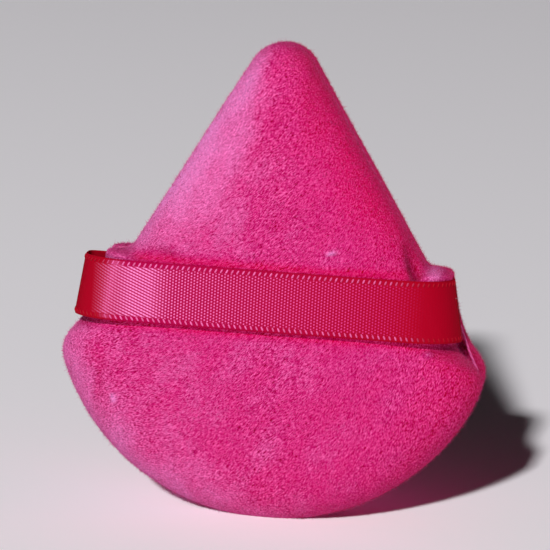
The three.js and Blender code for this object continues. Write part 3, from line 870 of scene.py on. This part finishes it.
def make_fibres(p, r, name, cover, side):
    """Loose pile fibres: thin closed spikes that stand on a cover and lean with its nap."""
    rng = np.random.default_rng(p.seed + (0 if side < 0 else 1))
    co, normal = corners_of(cover)
    quads = np.empty(len(cover.data.loops), np.int32)
    cover.data.loops.foreach_get("vertex_index", quads)
    quads = quads[: cover["outside_faces"] * 4].reshape(-1, 4)
    a, b, d = co[quads[:, 0]], co[quads[:, 1]], co[quads[:, 3]]
    area = np.linalg.norm(np.cross(b - a, d - a), axis=1)
    ring = disc_grid(COVER_RINGS)[0][quads[:, 0]] / COVER_RINGS
    area *= 1 + 2 * smooth_step(0.7, 0.88, ring)
    picked = rng.choice(len(quads), p.fibre_count, p=area / area.sum())
    u, v = rng.random(p.fibre_count)[:, None], rng.random(p.fibre_count)[:, None]
    corner = quads[picked]
    weights = ((1 - u) * (1 - v), u * (1 - v), u * v, (1 - u) * v)
    root = sum(co[corner[:, m]] * w for m, w in enumerate(weights))
    up = sum(normal[corner[:, m]] * w for m, w in enumerate(weights))
    up /= np.linalg.norm(up, axis=1)[:, None]
    lean = nap_angle(root)
    nap = np.stack([np.cos(lean), 0 * lean, np.sin(lean)], 1)
    nap -= up * (nap * up).sum(1)[:, None]
    stray = rng.normal(0, 1, (p.fibre_count, 3))
    stray -= up * (stray * up).sum(1)[:, None]
    way = up + 0.45 * nap + 0.42 * stray
    way /= np.linalg.norm(way, axis=1)[:, None]
    tall = p.fibre_length * rng.uniform(0.5, 1.25, p.fibre_count)
    tall[rng.random(p.fibre_count) < p.stray_share] *= 2.2
    pressed = smooth_step(r.width / 2 + 0.0010, r.width / 2 + 0.0002, abs(root[:, 2] - r.height)) * (side < 0)
    tall = (tall * (1 - 0.7 * pressed))[:, None]
    across = np.cross(way, rng.normal(0, 1, (p.fibre_count, 3)))
    across *= p.fibre_width / 2 / np.linalg.norm(across, axis=1)[:, None]
    third = np.cross(way, across)
    start = root - way * p.fibre_length * 0.15
    tip = root + way * tall
    tip[:, 2] = np.maximum(tip[:, 2], 0.00005)
    base = [start + across, start - across * 0.5 + third * 0.87, start - across * 0.5 - third * 0.87]
    points = np.stack([*base, tip], 1).reshape(-1, 3)
    points[:, 2] = np.maximum(points[:, 2], 0.0)
    at = np.arange(p.fibre_count)[:, None] * 4
    faces = np.concatenate([at + f for f in ((0, 1, 3), (1, 2, 3), (2, 0, 3), (0, 2, 1))], 1).reshape(-1, 3)
    fibres = new_mesh(name, points, faces.tolist())
    # Painted light: pale fibres are drawn more often where the cover faces left and towards the puff's left
    pale = np.clip(0.3 - 0.6 * up[:, 0] - 6.0 * root[:, 0], 0.02, 0.9)
    draw = rng.random(p.fibre_count)
    tint = np.where(draw < pale, 2, np.where(draw < pale + 0.35, 1, 0))
    fibres.data.polygons.foreach_set("material_index", np.repeat(tint, 4).astype(np.int32))
    return fibres


def make_foam(s, r, edge):
    """Sponge filling with a groove round its edge and open cells on its skin."""
    depth = s.cover_wall + s.clearance
    groove = s.seam_gap / 2 + depth
    points, faces, ends, first = [], [], [], 0
    for side in (-1, 1):
        skin, quads, rim = crown_skin(s, r, edge, FOAM_RINGS, depth, side)
        count = len(rim)
        ring_share = np.arange(count) / count
        lip = depth + lip_depth(s, groove, s.seam_gap / 2, ribbon_pull(r, edge, ring_share, side))
        deep = np.full(count, s.seam_depth + s.clearance)
        drawn = np.full(count, (s.seam_allowance + s.groove_room) / s.base_radius)
        shelf = edge.ring(ring_share, lip, 0 * drawn)
        floor = edge.ring(ring_share, deep, drawn)
        cells = np.array([noise.cell(q) for q in (skin / 0.0009).tolist()])
        cells[rim] = 0.0
        skin[:, 1] -= side * 0.00018 * cells
        rows = [off_seam(ring, np.full(count, side * groove)) for ring in (shelf, floor)]
        faces += ((quads if side < 0 else quads[:, ::-1]) + first).tolist()
        runs = [rim + first, np.arange(count) + first + len(skin), np.arange(count) + first + len(skin) + count]
        for upper, lower in zip(runs, runs[1:]):
            band = [(int(upper[(m + 1) % count]), int(upper[m]), int(lower[m]), int(lower[(m + 1) % count]))
                    for m in range(count)]
            faces += band if side < 0 else [f[::-1] for f in band]
        points += [skin, *rows]
        ends.append(runs[-1])
        first += len(skin) + 2 * count
    back, front = ends
    faces += [(int(back[(m + 1) % count]), int(back[m]), int(front[m]), int(front[(m + 1) % count]))
              for m in range(count)]
    return new_mesh("foam_core", np.vstack(points), faces)


def sponge_material(c):
    """Open-cell sponge with painted shade in its pores."""
    material, tree, shader = new_material("sponge", 0.95, Specular_IOR_Level=0.1)
    place = tree.nodes.new("ShaderNodeTexCoord").outputs["Object"]
    pores = add_node(tree, "ShaderNodeTexVoronoi", Scale=1400.0)
    tree.links.new(place, pores.inputs["Vector"])
    hole = ramp_up(tree, pores.outputs["Distance"], 0.1, 0.45)
    # Painted shade in the pores
    recess_shade = tuple(0.55 * v for v in c.sponge)
    tree.links.new(mix_colours(tree, hole, opaque(recess_shade), opaque(c.sponge)), shader.inputs["Base Color"])
    add_bump(tree, shader, pores.outputs["Distance"], 0.6, 0.0003)
    return material


class RibbonPath:
    """Surface of the ribbon: a place for each share along a half and each height."""

    def __init__(self, s, r, edge, side, columns, rows):
        self.heights = np.linspace(r.height - r.width / 2, r.height + r.width / 2, rows)
        slack, splay = (r.slack_left, r.splay_left) if side < 0 else (r.slack_right, r.splay_right)
        seam = float(edge.reach(r.height))
        lines = []
        for h in self.heights:
            reach = seam + slack - splay * (h - r.height) / r.width
            tail = float(edge.reach(h)) - s.seam_depth - s.seam_allowance + r.tail_trim
            bend = np.linspace(0, math.pi / 2, 24)
            border = np.linspace(0, math.pi / 2, 200)
            over = np.concatenate([reach - s.roll_width * (1 - np.cos(border)),
                                   np.linspace(reach - s.roll_width, 0, 200)[1:]])
            rise = np.concatenate([np.sin(border), np.ones(199)])
            x = np.concatenate([[tail], reach - r.turn * (1 - np.sin(bend)), over])
            y = np.concatenate([[0.0], r.turn * (1 - np.cos(bend)), crown_height(s, r.crown, rise, 1 - over / reach)])
            walk = np.concatenate([[0.0], np.cumsum(np.hypot(np.diff(x), np.diff(y)))])
            at = np.linspace(0, walk[-1], columns)
            lines.append(np.stack([side * np.interp(at, walk, x), SEAM_PLANE - np.interp(at, walk, y),
                                   np.full(columns, h), walk[-1] - at], 1))
        grid = np.stack(lines, 1)
        self.points = grid[..., :3]
        self.run = side * grid[..., 3]
        self.length = float(abs(self.run[0]).mean())
        along = np.gradient(self.points, axis=0) * -side
        up = np.gradient(self.points, axis=1)
        out = np.cross(along, up)
        self.out = out / np.linalg.norm(out, axis=-1)[..., None]

    def spot(self, run, height, lift):
        """Point at a distance along the ribbon from its middle, a height, and a lift off its surface."""
        columns, rows = self.run.shape
        a = np.clip((1 - abs(run) / self.length) * (columns - 1), 0, columns - 1.001)
        b = (height - self.heights[0]) / (self.heights[-1] - self.heights[0]) * (rows - 1)
        b = np.clip(b, 0, rows - 1.001)
        i, j = int(a), int(b)
        u, v = a - i, b - j
        total = 0.0
        for di, dj, w in ((0, 0, (1 - u) * (1 - v)), (1, 0, u * (1 - v)), (0, 1, (1 - u) * v), (1, 1, u * v)):
            total = total + w * (self.points[i + di, j + dj] + self.out[i + di, j + dj] * lift)
        return total


def plain_edge(r, height):
    """1 in the woven middle of the ribbon and 0 along its plain edges."""
    limit = r.width / 2 - r.selvedge
    return smooth_step(limit - STITCH_ROOM, limit - STITCH_ROOM - 0.0002, abs(height))


def float_height(r, run, height):
    """Relief of the satin floats: slanted rows of long humps, plain along both edges."""
    c, n = math.cos(r.twill_angle), math.sin(r.twill_angle)
    row = (run * n + height * c) / r.twill_pitch
    number = np.floor(row)
    along = (run * c - height * n) / r.float_length + r.twill_shift * number
    ridge = np.sin(math.pi * (row - number))
    dots = smooth_step(*DOTTED, run)
    hump = 0.9 - 0.4 * dots + (0.1 + 0.4 * dots) * np.cos(2 * math.pi * along)
    return ridge * hump * plain_edge(r, height)


def make_ribbon_half(s, r, edge, name, side):
    """Half of the satin ribbon, from its tail in the seam to the middle."""
    path = RibbonPath(s, r, edge, side, RIBBON_COLUMNS, RIBBON_ROWS)
    x, height = path.points[..., 0], path.points[..., 2] - r.height
    seen = smooth_step(*RELIEF_LEFT, x) * smooth_step(*RELIEF_RIGHT, x)
    relief = float_height(r, path.run, height) * (0.2 + 0.8 * seen)
    rolled = smooth_step(r.width / 2 - 0.00025, r.width / 2, abs(height))
    half = r.thickness / 2
    top = path.points + path.out * (half + r.float_relief * (relief - 0.4) - 0.5 * half * rolled)[..., None]
    under = path.points - path.out * (half - 0.5 * half * rolled)[..., None]
    columns, rows = path.run.shape
    index = np.arange(columns * rows).reshape(columns, rows)
    quads = grid_quads(index)
    if side > 0:
        quads = quads[:, ::-1]
    below = quads[:, ::-1] + columns * rows
    border = np.concatenate([index[:-1, 0], index[-1, :-1], index[:0:-1, -1], index[0, :0:-1]])
    after = np.roll(border, -1)
    wall = np.stack([after, border, border + columns * rows, after + columns * rows], 1)
    if side > 0:
        wall = wall[:, ::-1]
    faces = np.vstack([quads, below, wall]).tolist()
    half_ribbon = new_mesh(name, np.vstack([top.reshape(-1, 3), under.reshape(-1, 3)]), faces)
    # Painted highlight: the floats' gleam is fixed along the ribbon's length, strongest at the left bend
    painted_gleam = plain_edge(r, height) * np.interp(x, *zip(*PAINTED_GLEAM))
    weave = np.stack([path.run, height, painted_gleam], -1).reshape(-1, 3)
    store(half_ribbon, "weave", "FLOAT_VECTOR", np.vstack([weave, weave * (1, 1, 0.2)]).astype(np.float32))
    kinds = np.ones(len(faces), np.int32)
    kinds[: len(quads)] = abs(height[:-1, :-1] + height[:-1, 1:]).ravel() / 2 > r.width / 2 - HEM
    half_ribbon.data.polygons.foreach_set("material_index", kinds)
    ends = np.empty(len(half_ribbon.data.edges) * 2, np.int32)
    half_ribbon.data.edges.foreach_get("vertices", ends)
    rim = np.isin(ends % (columns * rows), border).reshape(-1, 2).all(1)
    store(half_ribbon, "sharp_edge", "BOOLEAN", rim, "EDGE")

    across, up = np.meshgrid(np.linspace(0, 1, columns), np.linspace(0, 1, rows), indexing="ij")
    spots = np.vstack([np.stack([0.005 + 0.99 * across, low + tall * up], -1).reshape(-1, 2)
                       for low, tall in (TOP_PATCH, UNDER_PATCH)])
    turn = np.arange(len(border)) / len(border)
    ahead = turn + 1 / len(border)
    low, high = (np.full(len(border), v) for v in WALL_PATCH)
    strip = np.stack([np.stack([ahead, turn, turn, ahead], 1), np.stack([high, high, low, low], 1)], -1)
    if side > 0:
        strip = strip[:, ::-1]
    lay_flat(half_ribbon, np.vstack([spots[np.vstack([quads, below])].reshape(-1, 2), strip.reshape(-1, 2)]))
    return half_ribbon, path


def make_edge_stitches(r, path, name, side):
    """Raised stitches along both edges of half a ribbon."""
    points, faces, tones = [], [], []
    ring, steps = 8, 7
    number = int((path.length - 0.006) / r.stitch_pitch)
    half = r.thickness / 2
    for m in range(number):
        run = side * (m + 0.5) * r.stitch_pitch
        for end in (-1, 1):
            middle = r.height + end * (r.width / 2 - r.selvedge)
            first = len(points)
            x_spot = float(path.spot(run, middle, half)[0])
            # Painted highlight: stitches are bright where the ribbon is lit and fade at its bends and towards its
            # middle
            stitch_highlight = smooth_step(*STITCH_LEFT, x_spot) * (1 - 0.25 * smooth_step(*STITCH_MIDDLE, x_spot))
            stitch_highlight *= smooth_step(*STITCH_RIGHT[end], x_spot)
            tones += [stitch_highlight * (0.85 + 0.15 * math.sin(2.4 * m + end))] * (ring * steps)
            for a in range(steps):
                t = a / (steps - 1) * 2 - 1
                fat = math.sqrt(max(1 - t**2, 0)) ** 0.7 * r.stitch_width / 2 + 0.00001
                z = middle + t * r.stitch_length / 2
                x = run + end * t * r.stitch_length * 0.22
                for b in range(ring):
                    turn = 2 * math.pi * b / ring
                    lift = half + 0.7 * fat * math.sin(turn)
                    points.append(path.spot(x + fat * math.cos(turn), z, lift))
            for a in range(steps - 1):
                for b in range(ring):
                    c = (b + 1) % ring
                    here, there = first + a * ring, first + (a + 1) * ring
                    faces.append((here + b, here + c, there + c, there + b))
            faces.append(tuple(first + b for b in reversed(range(ring))))
            faces.append(tuple(first + (steps - 1) * ring + b for b in range(ring)))
    stitches = new_mesh(name, points, faces)
    # The float attribute carries the stitches' painted highlight
    store(stitches, "float", "FLOAT", np.array(tones, np.float32))
    return stitches


def satin_ground(tree, run, c):
    """Colour of the satin between its floats, with painted light: pinker where the ribbon faces the light."""
    painted_light = calc(tree, "MULTIPLY", ramp_up(tree, run, *PAINTED_LIGHT_LEFT), ramp_up(tree, run, *PAINTED_LIGHT_RIGHT))
    return mix_colours(tree, painted_light, opaque(c.satin_dark), opaque(c.satin_painted_light))


def satin_material(r, c):
    """Satin: slanted rows of glossy floats over a deeper ground; the floats' pale colour is a painted highlight that
    follows the painted gleam along the ribbon and is paler still at its left.
    """
    material, tree, shader = new_material("satin", 0.27, Specular_IOR_Level=0.4,
                                          Specular_Tint=opaque((1.0, 0.30, 0.85)))
    weave = add_node(tree, "ShaderNodeAttribute", attribute_name="weave")
    run, height, painted_gleam = split(tree, weave.outputs["Vector"])
    c_row, n_row = (f(r.twill_angle) / r.twill_pitch for f in (math.cos, math.sin))
    c_run, n_run = (f(r.twill_angle) / r.float_length for f in (math.cos, math.sin))
    row = calc(tree, "MULTIPLY_ADD", height, c_row, calc(tree, "MULTIPLY", run, n_row))
    number = calc(tree, "FLOOR", row)
    ridge = calc(tree, "SINE", calc(tree, "MULTIPLY", calc(tree, "FRACT", row), math.pi))
    along = calc(tree, "MULTIPLY_ADD", run, c_run, calc(tree, "MULTIPLY", height, -n_run))
    along = calc(tree, "MULTIPLY_ADD", number, r.twill_shift, along)
    wave = calc(tree, "COSINE", calc(tree, "MULTIPLY", along, 2 * math.pi))
    dips = calc(tree, "MULTIPLY", ramp_up(tree, run, *DOTTED), calc(tree, "MULTIPLY_ADD", wave, 0.4, -0.4))
    hump = calc(tree, "ADD", calc(tree, "MULTIPLY_ADD", wave, 0.1, 0.9), dips)
    raised = calc(tree, "POWER", calc(tree, "MAXIMUM", calc(tree, "MULTIPLY", ridge, hump), 0.0), 2.6)
    # Painted highlight: the floats turn pale only where the painted gleam lies
    raised = calc(tree, "MULTIPLY", raised, painted_gleam)
    pale = mix_colours(tree, ramp_up(tree, run, *PALE), opaque(c.satin), opaque(c.satin_painted_highlight))
    shade = mix_colours(tree, raised, satin_ground(tree, run, c), pale)
    tree.links.new(shade, shader.inputs["Base Color"])
    return material


def hem_material(r, c):
    """Dull back and cut edge of the ribbon, finely ribbed across its length, on the satin's ground with its painted
    light.
    """
    material, tree, shader = new_material("ribbon_hem", 0.85, Specular_IOR_Level=0.05)
    weave = add_node(tree, "ShaderNodeAttribute", attribute_name="weave")
    run = split(tree, weave.outputs["Vector"])[0]
    ribs = calc(tree, "SINE", calc(tree, "MULTIPLY", run, 4 * math.pi / r.twill_pitch))
    level = calc(tree, "MULTIPLY_ADD", ribs, 0.5, 0.5)
    shade = mix_colours(tree, level, satin_ground(tree, run, c), opaque((0.8, 0.8, 0.8)), "MULTIPLY")
    tree.links.new(shade, shader.inputs["Base Color"])
    return material


def edge_material(c):
    """Yarn of the edge stitches, pale under a painted highlight and as deep as the satin at the ribbon's ends."""
    material, tree, shader = new_material("edge_yarn", 0.6, Specular_IOR_Level=0.15)
    tone = add_node(tree, "ShaderNodeAttribute", attribute_name="float")
    shade = mix_colours(tree, tone.outputs["Fac"], opaque(c.satin_dark), opaque(c.stitch))
    tree.links.new(shade, shader.inputs["Base Color"])
    return material


def thread_material(name, rgb):
    """Twisted sewing thread, with painted shade in the grooves of its twist."""
    material, tree, shader = new_material(name, 0.5, Specular_IOR_Level=0.35)
    place = tree.nodes.new("ShaderNodeTexCoord").outputs["Object"]
    twist = add_node(tree, "ShaderNodeTexWave", Scale=900.0, Distortion=1.5, bands_direction="DIAGONAL")
    tree.links.new(place, twist.inputs["Vector"])
    # Painted shade in the grooves of the twist
    recess_shade = tuple(0.6 * v for v in rgb)
    tree.links.new(mix_colours(tree, twist.outputs["Fac"], opaque(recess_shade), opaque(rgb)), shader.inputs["Base Color"])
    add_bump(tree, shader, twist.outputs["Fac"], 0.5, 0.0001)
    return material


def aim(turn, rise):
    """Unit vector from the puff at a turn to its right from the ribbon side, and an elevation."""
    return Vector((math.sin(turn) * math.cos(rise), -math.cos(turn) * math.cos(rise), math.sin(rise)))


def place_facing(thing, spot, target, roll=0.0):
    """Puts a camera or lamp at a spot and points it at a target."""
    turned = (target - spot).to_track_quat("-Z", "Y").to_matrix().to_4x4()
    thing.matrix_world = Matrix.Translation(spot) @ turned @ Matrix.Rotation(roll, 4, "Z")


def add_lamp(name, spot, target, size, power):
    """Square studio lamp."""
    lamp = bpy.data.lights.new(name, "AREA")
    lamp.size = size
    lamp.energy = power
    thing = bpy.data.objects.new(name, lamp)
    bpy.context.scene.collection.objects.link(thing)
    place_facing(thing, spot, target)
    return thing


class PUFF_OT_stage(bpy.types.Operator):
    """Adds the camera, the lamps, the floor and the even light"""

    bl_idname = "puff.stage"
    bl_label = "Stage"

    def execute(self, context):
        scene = context.scene
        g, s, c = scene.puff_stage, scene.puff_sizes, scene.puff_colours
        scene.view_settings.view_transform = "Standard"
        middle = Vector((0.0, SEAM_PLANE, s.base_radius - s.foot_depth))
        lens = bpy.data.cameras.new("camera")
        lens.sensor_fit = "HORIZONTAL"
        lens.sensor_width = 36.0
        lens.lens = 36.0 * g.camera_distance / g.frame_width
        lens.clip_start = 0.01
        camera = bpy.data.objects.new("camera", lens)
        scene.collection.objects.link(camera)
        scene.camera = camera
        way = aim(g.camera_turn, g.camera_rise)
        place_facing(camera, middle + way * g.camera_distance, middle, g.camera_roll)
        axes = camera.matrix_world.to_3x3()
        shift = axes @ Vector((g.shift_right, g.shift_up, 0.0))
        camera.matrix_world = Matrix.Translation(shift) @ camera.matrix_world

        lamps = (
            ("key", g.key_turn, g.key_rise, g.key_distance, g.key_size, g.key_power),
            ("floor_key", g.floor_turn, g.floor_rise, g.floor_distance, g.floor_size, g.floor_power),
            ("right", g.right_turn, g.side_rise, g.side_distance, g.side_size, g.right_power),
            ("left", g.left_turn, g.side_rise, g.side_distance, g.side_size, g.left_power),
            ("back_right", g.back_turn, g.back_rise, g.back_distance, g.back_size, g.back_power),
            ("back_left", -g.back_turn, g.back_rise, g.back_distance, g.back_size, g.back_power),
        )
        bend = np.linspace(0, FLOOR_TILT, 48)
        profile = [(FLOOR_FLAT + FLOOR_BEND * math.sin(a), FLOOR_BEND * (1 - math.cos(a))) for a in bend]
        profile.insert(0, (FLOOR_NEAR, 0.0))
        points = [(x, y, z) for y, z in profile for x in (-FLOOR_HALF, FLOOR_HALF)]
        faces = [(2 * m, 2 * m + 1, 2 * m + 3, 2 * m + 2) for m in range(len(profile) - 1)]
        floor = new_mesh("floor", points, faces)
        paper, _, _ = new_material("floor_paper", 0.9, Base_Color=opaque(c.floor), Specular_IOR_Level=0.1)
        floor.data.materials.append(paper)
        floor.visible_glossy = False
        for name, turn, rise, distance, size, watts in lamps:
            lamp = add_lamp(name, middle + aim(turn, rise) * distance, middle, size, watts)
            lamp.visible_glossy = name in ("key", "left")
            lit = bpy.data.collections.new(f"lit_by_{name}")
            lit.objects.link(floor)
            lit.collection_objects[0].light_linking.link_state = "INCLUDE" if name == "floor_key" else "EXCLUDE"
            lamp.light_linking.receiver_collection = lit

        world = bpy.data.worlds.new("studio")
        scene.world = world
        world.use_nodes = True
        sky = world.node_tree.nodes["Background"]
        sky.inputs["Color"].default_value = (0.96, 0.96, 1.0, 1.0)
        sky.inputs["Strength"].default_value = g.sky
        return {"FINISHED"}


class PUFF_OT_covers(bpy.types.Operator):
    """Makes the two velour covers and their pile"""

    bl_idname = "puff.covers"
    bl_label = "Velour covers"

    def execute(self, context):
        scene = context.scene
        s, r, p, c = scene.puff_sizes, scene.puff_ribbon, scene.puff_pile, scene.puff_colours
        edge = Edge(s)
        velour = velour_material(c)
        tints = [fibre_material("fibre_deep", c.velour_deep, c), fibre_material("fibre_pink", c.velour_face, c),
                 fibre_material("fibre_light", c.fibre_light, c)]
        for side, node, name in ((-1, "back_cover", "velour_back"), (1, "face_cover", "velour_face")):
            cover = make_cover(s, r, p, edge, name, side)
            cover.data.materials.append(velour)
            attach(cover, "puff")
            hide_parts(node)
            fibres = make_fibres(p, r, name.replace("velour", "pile"), cover, side)
            for tint in tints:
                fibres.data.materials.append(tint)
            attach(fibres, "puff")
        return {"FINISHED"}


class PUFF_OT_filling(bpy.types.Operator):
    """Makes the sponge that fills the covers"""

    bl_idname = "puff.filling"
    bl_label = "Sponge filling"

    def execute(self, context):
        s, c = context.scene.puff_sizes, context.scene.puff_colours
        foam = make_foam(s, context.scene.puff_ribbon, Edge(s))
        foam.data.materials.append(sponge_material(c))
        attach(foam, "puff")
        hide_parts("sponge_core")
        return {"FINISHED"}


class PUFF_OT_ribbon(bpy.types.Operator):
    """Makes the two halves of the satin ribbon and their edge stitches"""

    bl_idname = "puff.ribbon"
    bl_label = "Satin ribbon"

    def execute(self, context):
        scene = context.scene
        s, r, c = scene.puff_sizes, scene.puff_ribbon, scene.puff_colours
        edge = Edge(s)
        satin, hem = satin_material(r, c), hem_material(r, c)
        yarn = edge_material(c)
        for side, word in ((-1, "left"), (1, "right")):
            half, path = make_ribbon_half(s, r, edge, f"ribbon_{word}", side)
            half.data.materials.append(satin)
            half.data.materials.append(hem)
            stitches = make_edge_stitches(r, path, f"edge_stitches_{word}", side)
            stitches.data.materials.append(yarn)
            for piece in (half, stitches):
                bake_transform(piece)
            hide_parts("ribbon")
        return {"FINISHED"}


class PUFF_OT_thread(bpy.types.Operator):
    """Gives the sewing threads their finish"""

    bl_idname = "puff.thread"
    bl_label = "Sewing thread"

    def execute(self, context):
        finish = thread_material("sewing_thread", context.scene.puff_colours.thread)
        for name in THREAD_NODES:
            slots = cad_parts[name].data.materials
            slots.clear()
            slots.append(finish)
        return {"FINISHED"}


class PUFF_PT_panel(bpy.types.Panel):
    """Lists the steps and the settings of the puff"""

    bl_idname = "PUFF_PT_panel"
    bl_label = "Powder puff"
    bl_space_type = "VIEW_3D"
    bl_region_type = "UI"
    bl_category = "Puff"

    def draw(self, context):
        for step in STEPS:
            self.layout.operator(step.bl_idname)
        for name in SETTINGS:
            box = self.layout.box()
            group = getattr(context.scene, name)
            for field in group.bl_rna.properties:
                if not field.is_readonly and field.identifier != "name":
                    box.prop(group, field.identifier)


SETTINGS = {
    "puff_sizes": PuffSizes,
    "puff_pile": PileSettings,
    "puff_ribbon": RibbonSizes,
    "puff_colours": PuffColours,
    "puff_stage": StageSettings,
}
STEPS = (PUFF_OT_stage, PUFF_OT_covers, PUFF_OT_filling, PUFF_OT_ribbon, PUFF_OT_thread)
CLASSES = (*SETTINGS.values(), *STEPS, PUFF_PT_panel)


def register():
    for kind in CLASSES:
        bpy.utils.register_class(kind)
    for name, kind in SETTINGS.items():
        setattr(bpy.types.Scene, name, PointerProperty(type=kind))


def unregister():
    for name in SETTINGS:
        delattr(bpy.types.Scene, name)
    for kind in reversed(CLASSES):
        bpy.utils.unregister_class(kind)


def main():
    register()
    bpy.ops.puff.stage()
    bpy.ops.puff.covers()
    bpy.ops.puff.filling()
    bpy.ops.puff.ribbon()
    bpy.ops.puff.thread()


if __name__ == "__main__":
    main()
